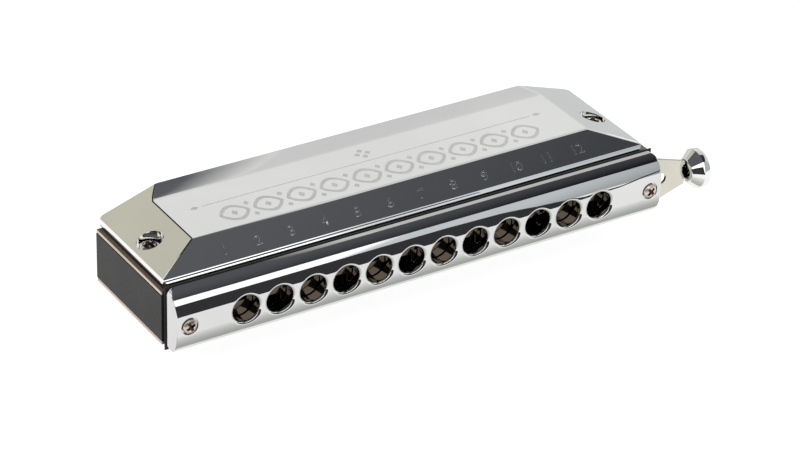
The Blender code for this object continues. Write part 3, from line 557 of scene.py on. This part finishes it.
def make_mouthpiece():
    """Skin with twelve round-edged holes and two sunk screw holes, closed behind."""
    bm = bmesh.new()
    rim = rounded_rim(HOLE_R, RIM_ROUND, 12)
    sink_rim = rounded_rim(SINK_R, SINK_ROUND, 4)
    sink = [(SINK_R, SINK_Y), (SCREW_HOLE_R, SINK_Y), (SCREW_HOLE_R, MOUTH_DEPTH)]
    xs = []
    for index in range(HOLE_COUNT):
        x = hole_x(index)
        cell = (x - PITCH / 2, x + PITCH / 2)
        add_cell(bm, x, cell, rim, [(HOLE_R, MOUTH_DEPTH)])
        xs += even(*cell, CELL_SIDE_STEPS)[1:] if xs else even(*cell, CELL_SIDE_STEPS)
    row_end = hole_x(HOLE_COUNT - 1) + PITCH / 2
    end_x = MOUTH_HALF_X - MOUTH_END_ROUND
    screw_cell = (MOUTH_SCREW_X - SCREW_CELL_HALF_X, end_x)
    for side in (-1, 1):
        cell = sorted(side * x for x in screw_cell)
        add_cell(bm, side * MOUTH_SCREW_X, cell, sink_rim, sink)
        plain = [side * x for x in even(row_end, screw_cell[0], 12)]
        add_columns(bm, plain, cell_heights)
        rounded = [side * (end_x + MOUTH_END_ROUND * math.sin(a)) for a in even(0, math.pi / 2, 8)]
        add_columns(bm, rounded, cell_heights)
        beyond = plain[1:] + [side * x for x in even(*screw_cell, CELL_SIDE_STEPS)][1:] + rounded[1:]
        xs = xs + beyond if side > 0 else beyond[::-1] + xs
    for side in (-1, 1):
        add_columns(bm, xs, band_heights(side))
    close_back(bm)
    skin = mesh_from("mouthpiece_skin", bm)
    channel = box_mesh((CHANNEL_LEFT_X, MOUTH_HALF_X + MM), (CHANNEL_Y, MOUTH_DEPTH + MM),
                       (-CHANNEL_HALF_Z, CHANNEL_HALF_Z))
    mesh = tidy_shading(carved(skin, [("DIFFERENCE", channel)]), 40)
    mesh.name = "mouthpiece_shell"
    add_piece("mouthpiece_shell", mesh, MOUTH_CHROME, "body", ["mouthpiece"])


# ---------------------------------------------------------------- covers

def cover_outline():
    """Section of the cover from its front foot to the rear lip, as (y, z) points."""
    lean = math.radians(FLANGE_TILT)
    fold_y, fold_z = COVER_FOLD
    strip = (fold_y - FLANGE_STRIP * math.sin(lean), fold_z - FLANGE_STRIP * math.cos(lean))
    ledge = (strip[0], strip[1] - FLANGE_STEP)
    rim = (ledge[0] - FLANGE_RIM * math.sin(lean), ledge[1] - FLANGE_RIM * math.cos(lean))
    centre = (rim[0] + FLANGE_R * math.cos(lean), rim[1] - FLANGE_R * math.sin(lean))
    points = [(centre[0] - FLANGE_R, COVER_FOOT_Z)]
    points += arc(centre, FLANGE_R, 180, 180 - FLANGE_TILT, 4)
    points += [ledge, strip, COVER_FOLD, (COVER_FLAT_Y[0], COVER_FLAT_Z)]
    run = COVER_REAR_Y - COVER_FLAT_Y[1]
    rise = COVER_Z[1] - COVER_FLAT_Z
    tilt = math.degrees(math.atan2(rise, run))
    radius = math.hypot(run, rise) / (2 * math.sin(math.radians(LIP_BEND)))
    start = -90 + tilt - LIP_BEND
    centre = (COVER_FLAT_Y[1] - radius * math.cos(math.radians(start)),
              COVER_FLAT_Z - radius * math.sin(math.radians(start)))
    points += arc(centre, radius, start, start + 2 * LIP_BEND, 6)
    points.append((COVER_REAR_Y, COVER_FOOT_Z))
    return points


def inner_outline():
    """Section of the space inside the sheet, carried past the foot and the rear edge."""
    foot_y = COVER_FOOT_Y + FLANGE_STEP
    foot_top_z = COVER_FOOT_Z + 0.7 * MM
    overrun = 1.0 * MM
    climb = (COVER_Z[1] - COVER_FLAT_Z) / (COVER_REAR_Y - COVER_FLAT_Y[1])
    points = [(foot_y, COVER_FOOT_Z - overrun), (foot_y, foot_top_z), COVER_FOLD,
              (COVER_FLAT_Y[0], COVER_FLAT_Z), (COVER_FLAT_Y[1], COVER_FLAT_Z),
              (COVER_REAR_Y + overrun, COVER_Z[1] + climb * overrun)]
    normals = []
    for (y0, z0), (y1, z1) in zip(points, points[1:]):
        length = math.hypot(y1 - y0, z1 - z0)
        normals.append(Vector(((z1 - z0) / length, (y0 - y1) / length)))
    inner = []
    for before, point, after in zip(normals[:1] + normals, points, normals + normals[-1:]):
        place = Vector(point) + (before + after) * COVER_THICK / (1 + before.dot(after))
        inner.append(tuple(place))
    inner.append((inner[-1][0], COVER_FOOT_Z - overrun))
    return inner


def cut_above(bm, point, normal, depth):
    """Cut away what lies above a plane, lowered by a depth, and close the cut."""
    normal = Vector(normal).normalized()
    geometry = bm.verts[:] + bm.edges[:] + bm.faces[:]
    cut = bmesh.ops.bisect_plane(bm, geom=geometry, dist=SAME_POINT, plane_co=Vector(point) - normal * depth,
                                 plane_no=normal, clear_outer=True)
    edges = [g for g in cut["geom_cut"] if isinstance(g, bmesh.types.BMEdge)]
    if edges:
        bmesh.ops.edgeloop_fill(bm, edges=edges)


def cut_facets(bm, depth):
    """Cut the two end facets."""
    for side in (-1, 1):
        cut_above(bm, (side * COVER_HALF_X, 0, COVER_FOLD[1]), (side * FACET_SLOPE, 0, 1), depth)


def cut_chamfers(bm, depth):
    """Cut the narrow chamfer between each facet and its end wall."""
    inset, fall = END_CHAMFER
    for side in (-1, 1):
        cut_above(bm, (side * COVER_HALF_X, 0, COVER_FOLD[1] - fall),
                  (side * (fall + inset * FACET_SLOPE), 0, inset), depth)


def round_folds(bm):
    """Round the folds of the top, and leave the foot, the flange and the rear edge as they are."""
    small = 2e-6
    folds = []
    for edge in bm.edges:
        ends = [v.co for v in edge.verts]
        on_wall = all(abs(p.x) > COVER_HALF_X - small for p in ends)
        on_foot = all(p.z < COVER_FOOT_Z + small for p in ends)
        on_rear = all(p.y > COVER_REAR_Y - small for p in ends)
        on_flange = (ends[0].y + ends[1].y) / 2 < COVER_FOLD[0] - small
        if on_wall or on_foot or on_rear or on_flange:
            continue
        if edge.calc_face_angle(0) > math.radians(FOLD_ANGLE):
            folds.append(edge)
    bmesh.ops.bevel(bm, geom=folds, offset=FOLD, offset_type="OFFSET", segments=4, profile=0.5,
                    affect="EDGES", clamp_overlap=True)


def draw_out(bm, outline, path):
    """Solid swept by an outline along a straight path."""
    face = bm.faces.new([bm.verts.new(point) for point in outline])
    moved = bmesh.ops.extrude_face_region(bm, geom=[face])
    verts = [v for v in moved["geom"] if isinstance(v, bmesh.types.BMVert)]
    bmesh.ops.translate(bm, verts=verts, vec=path)


def cover_block(name, outline, half_x, depth, rounded):
    """Solid of a section drawn out between the end walls and cut by the facets and chamfers."""
    bm = bmesh.new()
    draw_out(bm, [(-half_x, y, z) for y, z in outline], (2 * half_x, 0, 0))
    cut_facets(bm, depth)
    if rounded:
        round_folds(bm)
    cut_chamfers(bm, depth)
    return mesh_from(name, bm)


def plan_blank():
    """Upright block with rounded corners, the cover's outline in plan."""
    front = cover_outline()[0][0] + COVER_CORNER_R
    back = COVER_REAR_Y - COVER_CORNER_R
    inner = COVER_HALF_X - COVER_CORNER_R
    points = []
    for quarter, centre in enumerate(((inner, back), (-inner, back), (-inner, front), (inner, front))):
        points += arc(centre, COVER_CORNER_R, 90 * quarter, 90 * (quarter + 1), 8)
    bm = bmesh.new()
    draw_out(bm, [(x, y, 0) for x, y in points], (0, 0, PLAN_HEIGHT))
    return mesh_from("plan_blank", bm)


def upright_disc(side, radius, z_range, segments=64):
    """Upright cylinder on the axis of a cover screw, on the left for side -1 and the right for 1."""
    profile = [(0, z_range[0]), (radius, z_range[0]), (radius, z_range[1]), (0, z_range[1])]
    mesh = lathe("disc", profile, segments)
    mesh.transform(Matrix.Translation((side * SEAT_X, SEAT_Y, 0)))
    return mesh


def seat_cup(side):
    """Solid under a screw seat, cut off below the facet."""
    bm = bmesh.new()
    bm.from_mesh(upright_disc(side, SEAT_R + COVER_THICK, (COVER_FOOT_Z, COVER_FLAT_Z + MM)))
    cut_facets(bm, SEAT_DROP)
    return mesh_from("seat_cup", bm)


def cover_mesh():
    """Pressed cover, open below and at the back, with two sunk screw seats."""
    block = cover_block("cover_block", cover_outline(), COVER_HALF_X, 0.0, True)
    space = cover_block("cover_space", inner_outline(), COVER_HALF_X - COVER_THICK, COVER_THICK, False)
    steps = [("INTERSECT", plan_blank()), ("DIFFERENCE", space)]
    steps += [("UNION", seat_cup(side)) for side in (-1, 1)]
    top = COVER_FLAT_Z + 2 * MM
    for side in (-1, 1):
        steps.append(("DIFFERENCE", upright_disc(side, SEAT_R, (SEAT_FLOOR_Z, top))))
        bore = upright_disc(side, POST_BORE_R, (COVER_FOOT_Z - MM, top), POST_BORE_SEGMENTS)
        steps.append(("DIFFERENCE", bore))
    return tidy_shading(carved(block, steps), 50)


def make_covers():
    """Upper cover, and the lower one as the same pressing turned over."""
    mesh = cover_mesh()
    lower = mesh.copy()
    lower.transform(Matrix.Rotation(math.pi, 4, "Y"))
    for name, data in (("upper", mesh), ("lower", lower)):
        data.name = name + "_cover_shell"
        piece = add_piece(name + "_cover_shell", data, COVER_CHROME, "body", [name + "_cover"])
        soften_edges(piece, 0.12 * MM, 55)


# ---------------------------------------------------------------- engraving on the upper cover

def slope_frame():
    """Place on the front slope and its axes: along the holes, up the slope, and out."""
    start = Vector((0, *COVER_FOLD))
    end = Vector((0, COVER_FLAT_Y[0], COVER_FLAT_Z))
    up = (end - start).normalized()
    along = Vector((1, 0, 0))
    return Matrix((along, up, along.cross(up))).transposed().to_4x4(), start.lerp(end, DIGIT_UP_SLOPE)


def make_numbers():
    """Plain raised numbers on the front slope, one behind each hole."""
    turn, middle = slope_frame()
    for index in range(HOLE_COUNT):
        curve = bpy.data.curves.new("digits", "FONT")
        curve.body = str(index + 1)
        curve.size = DIGIT_SIZE
        curve.align_x = "CENTER"
        curve.align_y = "CENTER"
        curve.extrude = DIGIT_RELIEF
        curve.bevel_depth = DIGIT_ROUND
        curve.bevel_resolution = 1
        curve.resolution_u = 6
        mesh = baked(new_object("digits", curve))
        place = turn.copy()
        place.translation = middle + Vector((hole_x(index), 0, 0))
        mesh.transform(place)
        tidy_shading(mesh, 40)
        add_piece("number_%02d" % (index + 1), mesh, COVER_CHROME, "body")


def ring_points(half_x, half_y):
    """Pointed oval outline."""
    points = []
    for side in (1, -1):
        for share in even(0, 1, 24)[:-1]:
            x = side * half_x * (1 - 2 * share)
            points.append((x, side * half_y * math.sin(math.pi * share) ** 0.8))
    return points


def etched_row(bm, centre, outline, z):
    """Vertices of an outline moved to its centre, at one height."""
    return [bm.verts.new((centre[0] + x, centre[1] + y, z)) for x, y in outline]


def add_ring(bm, centre):
    """Flat pointed ring of the band."""
    outer, inner = ring_points(*RING_OUTER), ring_points(*RING_INNER)
    low, high = ETCH_Z
    rows = [etched_row(bm, centre, outline, z)
            for outline, z in ((outer, low), (outer, high), (inner, high), (inner, low))]
    bridge_rows(bm, rows + rows[:1], True)


def add_plate(bm, centre, outline):
    """Flat plate of an outline."""
    low, high = [etched_row(bm, centre, outline, z) for z in ETCH_Z]
    bridge_rows(bm, [low, high], True)
    bm.faces.new(low)
    bm.faces.new(high)


def rectangle(half_x, half_y):
    return [(half_x, half_y), (-half_x, half_y), (-half_x, -half_y), (half_x, -half_y)]


def diamond(half_x, half_y):
    return [(half_x, 0), (0, half_y), (-half_x, 0), (0, -half_y)]


def make_ornament():
    """Etched band on the flat: pointed rings, and behind them a ruled line and a group of four diamonds."""
    bm = bmesh.new()
    for index in range(RING_COUNT):
        x = (index - (RING_COUNT - 1) / 2) * RING_PITCH
        add_ring(bm, (x, RING_Y))
        add_plate(bm, (x, RING_Y), diamond(*RING_DIAMOND))
        if index > 0:
            for side in (-1, 1):
                add_plate(bm, (x - RING_PITCH / 2, RING_Y + side * GAP_REACH), diamond(*GAP_DIAMOND))
    add_plate(bm, (0, RULE_Y), rectangle(*RULE_HALF))
    for side in (-1, 1):
        add_plate(bm, (side * RULE_END_X, RULE_Y), diamond(*RULE_DIAMOND))
    for angle in even(0, 2 * math.pi, 4)[:-1]:
        place = (CLUSTER_R * math.cos(angle), CLUSTER_Y + CLUSTER_R * math.sin(angle))
        add_plate(bm, place, diamond(*CLUSTER_DIAMOND))
    add_piece("top_ornament", mesh_from("top_ornament", bm), ETCHED, "body")


# ---------------------------------------------------------------- fasteners

def recess_bar(length, width, top, depth, turn):
    """Tapered bar that cuts one arm pair of a cross recess."""
    bm = bmesh.new()
    rows = []
    for share, z in ((1.0, top + 0.5 * MM), (1.0, top), (0.45, top - depth)):
        half_x, half_y = length * share, width * (0.4 + 0.6 * share)
        rows.append([bm.verts.new((x, y, z)) for x, y in rectangle(half_x, half_y)])
    bridge_rows(bm, rows, True)
    bm.faces.new(rows[0])
    bm.faces.new(rows[-1])
    mesh = mesh_from("recess", bm)
    mesh.transform(Matrix.Rotation(turn, 4, "Z"))
    return mesh


def screw_mesh(name, head_r, head_height, shank_r, shank_length, spin):
    """Pan-head screw with a cross recess, head from z 0 up."""
    flat = 0.35 * head_height
    dome = [(head_r * math.cos(a), flat + (head_height - flat) * math.sin(a))
            for a in even(0.25, math.pi / 2, 9)]
    profile = [(0, -shank_length), (shank_r * 0.6, -shank_length), (shank_r, -shank_length + shank_r)]
    profile += [(shank_r, 0), (head_r * 0.97, 0), (head_r, 0.04 * head_height), (head_r, flat)]
    profile += dome[:-1] + [(0, head_height)]
    blank = lathe(name, profile, 56)
    steps = []
    half_x, half_y = RECESS_ARM[0] * head_r, RECESS_ARM[1] * head_r
    for turn in (spin, spin + math.pi / 2):
        bar = recess_bar(half_x, half_y, head_height, RECESS_DEPTH * head_height, turn)
        steps.append(("DIFFERENCE", bar))
    return tidy_shading(carved(blank, steps), 30)


def darken_recess(piece, place, head_r, head_height):
    """Paint shade on the faces inside the cross recess, with a second, darker material."""
    piece.data.materials.append(RECESS_SHADE)
    back = place.inverted()
    lowest, highest = 0.1 * head_height, head_height - 0.17 * MM
    reach = (RECESS_ARM[0] + 0.02) * head_r
    for face in piece.data.polygons:
        point = back @ face.center
        if lowest < point.z < highest and math.hypot(point.x, point.y) < reach:
            face.material_index = 1


def add_screw(node, material, place, head, shank, spin):
    """Screw in its place; head and shank are (radius, length) pairs."""
    mesh = screw_mesh(node, *head, *shank, spin)
    mesh.transform(place)
    piece = add_piece(node + "_head", mesh, material, "body", [node])
    darken_recess(piece, place, *head)


def make_screws():
    ends = (("left", -1), ("right", 1))
    for plate, side in (("upper", 1), ("lower", -1)):
        for end_name, end in ends:
            node = "%s_cover_screw_%s" % (plate, end_name)
            x_range, _, z_range = local_box(node)
            head = ((x_range[1] - x_range[0]) / 2, COVER_SCREW_HEAD)
            base = z_range[1] - head[1] if side > 0 else z_range[0] + head[1]
            turn = Matrix.Rotation(0 if side > 0 else math.pi, 4, "Y")
            place = Matrix.Translation((end * SEAT_X, SEAT_Y, base)) @ turn
            add_screw(node, SCREW_CHROME, place, head, COVER_SCREW_SHANK, 0.5 + 0.3 * end)
    for end_name, end in ends:
        node = "mouthpiece_screw_" + end_name
        x_range, y_range, _ = local_box(node)
        head = ((x_range[1] - x_range[0]) / 2, MOUTH_SCREW_HEAD)
        shank = (MOUTH_SCREW_SHANK_R, y_range[1] - y_range[0] - head[1])
        place = Matrix.Translation((end * MOUTH_SCREW_X, y_range[0] + head[1], 0))
        place = place @ Matrix.Rotation(math.pi / 2, 4, "X")
        add_screw(node, SCREW_NICKEL, place, head, shank, 0.6 + 0.15 * end)


# ---------------------------------------------------------------- slide, knob, spring and painted shade strips

def softened_copy(node, name, material, body, width):
    """The CAD solid's own shape, with its flat faces made whole and its edges broken."""
    bm = bmesh.new()
    bm.from_mesh(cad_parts[node].data)
    bmesh.ops.translate(bm, verts=bm.verts, vec=-ORIGIN)
    bmesh.ops.remove_doubles(bm, verts=bm.verts, dist=SAME_POINT)
    bmesh.ops.dissolve_limit(bm, angle_limit=math.radians(0.5), verts=bm.verts, edges=bm.edges)
    piece = add_piece(name, mesh_from(name, bm, 40), material, body, [node])
    soften_edges(piece, width)


def make_knob():
    """Turned knob: blind bore, neck, cone, rim and shallow dome, all with broken edges."""
    x_range, y_range, z_range = local_box("button")
    neck_r, rim_r, soft = KNOB_NECK_R, (z_range[1] - z_range[0]) / 2, KNOB_SOFT
    bore_r, bore_depth = KNOB_BORE
    rim_top = KNOB_CONE + KNOB_RIM
    dome_r, dome_base = rim_r - soft, rim_top + soft * 0.5
    dome_top = rim_top + KNOB_DOME
    profile = [(0, bore_depth), (bore_r, bore_depth), (bore_r, soft / 2), (bore_r + soft / 2, 0),
               (neck_r - soft, 0), (neck_r - soft * 0.3, soft * 0.3), (neck_r + soft * 0.4, soft),
               (rim_r - soft * 0.7, KNOB_CONE - soft), (rim_r - soft * 0.15, KNOB_CONE - soft * 0.2),
               (rim_r, KNOB_CONE + soft), (rim_r, rim_top - soft), (rim_r - soft * 0.3, rim_top),
               (dome_r, dome_base)]
    profile += [(dome_r * math.cos(a), dome_base + (dome_top - dome_base) * math.sin(a))
                for a in even(0.12, math.pi / 2, 12)[:-1]]
    profile.append((0, dome_top))
    mesh = lathe("knob", profile, 80, 32)
    mesh.transform(Matrix.Translation((x_range[0], (y_range[0] + y_range[1]) / 2, 0))
                   @ Matrix.Rotation(math.pi / 2, 4, "Y"))
    add_piece("knob", mesh, KNOB_CHROME, "slide", ["button"])


def make_spring():
    """Return spring: a fixed leg, a coil and a leg that hooks into the slide."""
    low = -COIL_PITCH * COIL_TURNS / 2
    centre = Vector((*COIL_CENTRE, low))
    fixed = Vector((*FIXED_LEG_END, low))
    first = centre + Vector((COIL_R, 0, 0))
    points = [fixed.lerp(first, i / 6) for i in range(6)]
    for turn in even(0, COIL_TURNS, 60):
        angle = 2 * math.pi * turn
        swing = Vector((COIL_R * math.cos(angle), COIL_R * math.sin(angle), COIL_PITCH * turn))
        points.append(centre + swing)
    last = points[-1]
    hook = [Vector((SLIDE_HOLE_X, y, 0)) for y in HOOK_Y]
    points += [last.lerp(hook[0], i / 12) for i in range(1, 13)] + hook[1:]
    curve = bpy.data.curves.new("spring_wire", "CURVE")
    curve.dimensions = "3D"
    curve.bevel_depth = WIRE_R
    curve.bevel_resolution = 3
    curve.use_fill_caps = True
    spline = curve.splines.new("POLY")
    spline.points.add(len(points) - 1)
    for point, place in zip(spline.points, points):
        point.co = (*(place + ORIGIN), 1.0)
    mesh = tidy_shading(baked(new_object("spring_wire", curve)), 60)
    mesh.materials.clear()
    mesh.materials.append(STEEL)
    piece = new_object("spring_wire", mesh)
    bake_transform(piece)
    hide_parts("return_spring")


def make_front_shade_strips():
    """Black strips on the reed plates, between the gasket and the front foot of each cover: painted shade
    where the ledge lies in shadow.
    """
    half_x = COVER_HALF_X - SHADE_STRIP_END_GAP
    depths = (local_box("upper_reed_plate")[1][0] + SHADE_STRIP_FRONT_GAP, COVER_FOOT_Y - SHADE_STRIP_BACK_GAP)
    for name, side in (("upper", 1), ("lower", -1)):
        mesh = box_mesh((-half_x, half_x), depths, sorted(side * z for z in SHADE_STRIP_Z))
        piece = add_piece(name + "_front_shade_strip", mesh, BLACK_RUBBER_AND_SHADE, "body")
        soften_edges(piece, 0.1 * MM)


# ---------------------------------------------------------------- carried-over nodes and valves

def assign(node, material):
    """Give a CAD node a finish of its own."""
    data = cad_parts[node].data
    data.materials.clear()
    data.materials.append(material)


def finish_nodes():
    """Give every CAD node that still shows its own finish."""
    for side in ("upper", "lower"):
        for index in range(HOLE_COUNT):
            assign("%s_reed_%02d" % (side, index + 1), BRONZE)
        for number in range(1, 5):
            assign("%s_plate_screw_%d" % (side, number), STEEL)
    for end in ("left", "right"):
        assign("cover_post_" + end, BRASS)
    assign("spring_post", STEEL)
    assign("left_bumper", BLACK_RUBBER_AND_SHADE)
    assign("right_bumper", BLACK_RUBBER_AND_SHADE)


def valve_mesh(name, x, length, side):
    """Thin film flap, glued at its front and lifted a little towards its free end."""
    bm = bmesh.new()
    steps, columns = 14, 4
    low, high = [], []
    for part in even(0, 1, steps):
        y = VALVE_START_Y + length * part
        z = VALVE_Z + VALVE_LIFT * part ** 3
        xs = even(x - VALVE_HALF_X, x + VALVE_HALF_X, columns)
        low.append([bm.verts.new((px, y, side * z)) for px in xs])
        high.append([bm.verts.new((px, y, side * (z + VALVE_THICK))) for px in xs])
    bridge_rows(bm, low, False)
    bridge_rows(bm, high, False)
    for i in range(steps):
        for k in (0, -1):
            bm.faces.new((low[i][k], low[i + 1][k], high[i + 1][k], high[i][k]))
    for row in (0, -1):
        for k in range(columns):
            bm.faces.new((low[row][k], low[row][k + 1], high[row][k + 1], high[row][k]))
    return mesh_from(name, bm)


def make_valves():
    """Flaps over the slots of the inner reeds, shorter towards the high notes."""
    lengths = even(*VALVE_LENGTHS, HOLE_COUNT - 1)
    for side_name, side in (("upper", 1), ("lower", -1)):
        for index, length in enumerate(lengths):
            name = "%s_valve_%02d" % (side_name, index + 1)
            mesh = valve_mesh(name, hole_x(index) + PITCH / 4, length, side)
            add_piece(name, mesh, VALVE_FILM, "body")


# ---------------------------------------------------------------- studio

def add_card(name, points, colour=(1, 1, 1)):
    """Card that only reflections see; points are in the harmonica's own axes, in millimetres."""
    mesh = bpy.data.meshes.new(name)
    mesh.from_pydata([Vector(p) * MM + ORIGIN for p in points], [], [list(range(len(points)))])
    material = bpy.data.materials.new(name)
    material.use_nodes = True
    tree = material.node_tree
    tree.nodes.remove(tree.nodes["Principled BSDF"])
    emission = tree.nodes.new("ShaderNodeEmission")
    emission.inputs["Color"].default_value = (*colour, 1.0)
    link(tree, emission.outputs["Emission"], tree.nodes["Material Output"].inputs["Surface"])
    mesh.materials.append(material)
    card = new_object(name, mesh)
    card.visible_camera = False
    card.visible_shadow = False
    card.visible_diffuse = False
    return tree


def add_graded_card(name, points, direction, start, end, stops):
    """Card coloured by ramp stops along a direction, from start to end in millimetres."""
    tree = add_card(name, points)
    dot = tree.nodes.new("ShaderNodeVectorMath")
    dot.operation = "DOT_PRODUCT"
    dot.inputs[1].default_value = direction
    link(tree, tree.nodes.new("ShaderNodeTexCoord").outputs["Object"], dot.inputs[0])
    shift = ORIGIN.dot(Vector(direction))
    share = spread(tree, dot.outputs["Value"], 0.0, 1.0, start * MM + shift, end * MM + shift)
    link(tree, ramp_of(tree, share, stops), tree.nodes["Emission"].inputs["Color"])


def rectangle_at_z(x_range, y_range, z):
    return [(x_range[0], y_range[0], z), (x_range[1], y_range[0], z),
            (x_range[1], y_range[1], z), (x_range[0], y_range[1], z)]


def rectangle_at_y(x_range, y, z_range):
    return [(x_range[0], y, z_range[0]), (x_range[1], y, z_range[0]),
            (x_range[1], y, z_range[1]), (x_range[0], y, z_range[1])]


def make_floor():
    """Pale paper, lit from within so that it stays near white."""
    mesh = bpy.data.meshes.new("floor")
    half = FLOOR_HALF
    z = FRAME_SIZE[0].z
    mesh.from_pydata(rectangle_at_z((-half, half), (-half, half), z), [], [(0, 1, 2, 3)])
    material = surface("floor_paper", ((0.26, 0.26, 0.26), (0.24, 0.24, 0.24)), (0.7, 0.9), 0.0, cloud=4.0,
                       grain=900.0)
    shader = material.node_tree.nodes["Principled BSDF"]
    shader.inputs["Emission Color"].default_value = (1, 1, 1, 1)
    shader.inputs["Emission Strength"].default_value = FLOOR_GLOW
    mesh.materials.append(material)
    new_object("floor", mesh)


def ramp_of(tree, value, stops):
    """Colour ramp of (position, colour) stops."""
    ramp = tree.nodes.new("ShaderNodeValToRGB")
    elements = ramp.color_ramp.elements
    for position, _ in stops[2:]:
        elements.new(position)
    for element, (position, colour) in zip(elements, stops):
        element.position = position
        element.color = (*colour, 1)
    link(tree, value, ramp.inputs["Fac"])
    return ramp.outputs["Color"]


def make_world():
    """Pale studio, brightest about half-way up and a little dimmer overhead and at the horizon."""
    world = bpy.data.worlds.new("studio")
    bpy.context.scene.world = world
    world.use_nodes = True
    tree = world.node_tree
    split = tree.nodes.new("ShaderNodeSeparateXYZ")
    link(tree, tree.nodes.new("ShaderNodeTexCoord").outputs["Generated"], split.inputs["Vector"])
    link(tree, ramp_of(tree, split.outputs["Z"], SKY), tree.nodes["Background"].inputs["Color"])


def make_cards():
    """Dark and light cards whose reflections draw the bands on the chrome."""
    overhead = 400
    ceiling = [(-900, -292), (150, -292), (262, -335), (350, -310), (430, -292), (430, 70), (160, 70),
               (150, 330), (-900, 330)]
    add_graded_card("ceiling_card", [(x, y, overhead) for x, y in ceiling], (1, -0.5, 0), 110, 480,
                    [(0.0, CEILING_GREY), (1.0, (0.012, 0.012, 0.016))])
    add_graded_card("ceiling_fringe", rectangle_at_z((150, 192), (72, 330), overhead), (1, 0, 0), 150, 192,
                    [(0.0, CEILING_GREY), (1.0, (0.85, 0.85, 0.84))])
    # Low dark card before the mouthpiece, running out to the right in a thin rod
    front = [(-400, -13), (-400, 28), (30, 28), (47, 23), (52, 17), (58, 10), (65, 4), (72, -3), (84, -1.5),
             (91, 8), (108, 20), (108, 17), (91, 4), (84, -6), (72, -11), (66, -13)]
    add_card("front_card", [(x, -40, z) for x, z in front], (0.045, 0.045, 0.050))
    # Black cards that line the folds round the left facet
    add_card("fold_ceiling_card", rectangle_at_z((-60, 45), (170, 400), overhead - 5), (0.008, 0.008, 0.010))
    add_card("fold_card", [(45, 495, 230), (130, 495, 230), (130, 425, 520), (45, 425, 520)],
             (0.02, 0.02, 0.022))
    left = [(-1200, 500, -10), (-450, 1000, -10), (-450, 1000, 420), (-1200, 500, 420)]
    add_graded_card("left_card", left, (0, 0, 1), 200, 260,
                    [(0.0, (1.25, 1.25, 1.25)), (1.0, (0.70, 0.70, 0.69))])
    # Cream card behind, seen in the left facet
    add_card("warm_card", [(-260, 500, 260), (45, 500, 260), (45, 420, 640), (-260, 420, 640)],
             (0.63, 0.61, 0.51))
    add_graded_card("front_softbox", rectangle_at_y((-500, 560), -300, (-10, 440)), (1, 0, -0.45), 0, 250,
                    [(0.24, (1.7, 1.7, 1.7)), (0.30, (0.80, 0.83, 0.86)), (0.62, (0.75, 0.78, 0.81)),
                     (0.90, (0.50, 0.53, 0.55))])
    # Painted shadow: card under the front, darkest next to the harmonica, that the mouthpiece mirrors as
    # shade on the floor
    add_graded_card("floor_shadow_card", rectangle_at_z((-90, 84), (-17, 2), -14.5), (0, 1, 0), -17, -1,
                    [(0.0, (1.02, 1.02, 1.02)), (1.0, (0.53, 0.54, 0.52))])


def make_lights():
    """Two weak softboxes that chrome does not mirror."""
    for name, place in (("left_softbox", (-600, -250, 500)), ("right_softbox", (650, 250, 450))):
        light = bpy.data.lights.new(name, "AREA")
        light.shape = "SQUARE"
        light.size = LIGHT_SIZE
        light.energy = LIGHT_POWER
        lamp = new_object(name, light)
        lamp.location = Vector(place) * MM + ORIGIN
        lamp.rotation_euler = (ORIGIN - lamp.location).to_track_quat("-Z", "Y").to_euler()
        lamp.visible_glossy = False


def make_camera():
    """Long lens from the front left and above."""
    azimuth, elevation, roll = (math.radians(angle) for angle in CAMERA_ANGLES)
    back = Vector((math.sin(azimuth) * math.cos(elevation), -math.cos(azimuth) * math.cos(elevation),
                   math.sin(elevation)))
    right = Vector((0, 0, 1)).cross(back).normalized()
    up = back.cross(right)
    rolled_right = math.cos(roll) * right + math.sin(roll) * up
    rolled_up = math.cos(roll) * up - math.sin(roll) * right
    data = bpy.data.cameras.new("camera")
    data.lens = CAMERA_LENS
    data.sensor_width = 36.0
    camera = new_object("camera", data)
    matrix = Matrix((rolled_right, rolled_up, back)).transposed().to_4x4()
    matrix.translation = Vector(CAMERA_TARGET) + back * CAMERA_DISTANCE + ORIGIN
    camera.matrix_world = matrix
    bpy.context.scene.camera = camera


# ---------------------------------------------------------------- assembly

make_mouthpiece()
make_covers()
make_numbers()
make_ornament()
make_screws()
make_knob()
softened_copy("slide", "slide_plate", NICKEL, "slide", 0.10 * MM)
softened_copy("comb", "comb_block", COMB_PLASTIC, "body", 0.15 * MM)
softened_copy("comb_gasket", "gasket_sheet", BLACK_RUBBER_AND_SHADE, "body", 0.08 * MM)
softened_copy("slide_back_plate", "slide_back_sheet", NICKEL, "body", 0.06 * MM)
softened_copy("upper_reed_plate", "upper_plate", BRASS, "body", 0.08 * MM)
softened_copy("lower_reed_plate", "lower_plate", BRASS, "body", 0.08 * MM)
make_spring()
make_front_shade_strips()
make_valves()
finish_nodes()
make_floor()
make_world()
make_cards()
make_lights()
make_camera()
bpy.context.scene.view_settings.view_transform = "Standard"
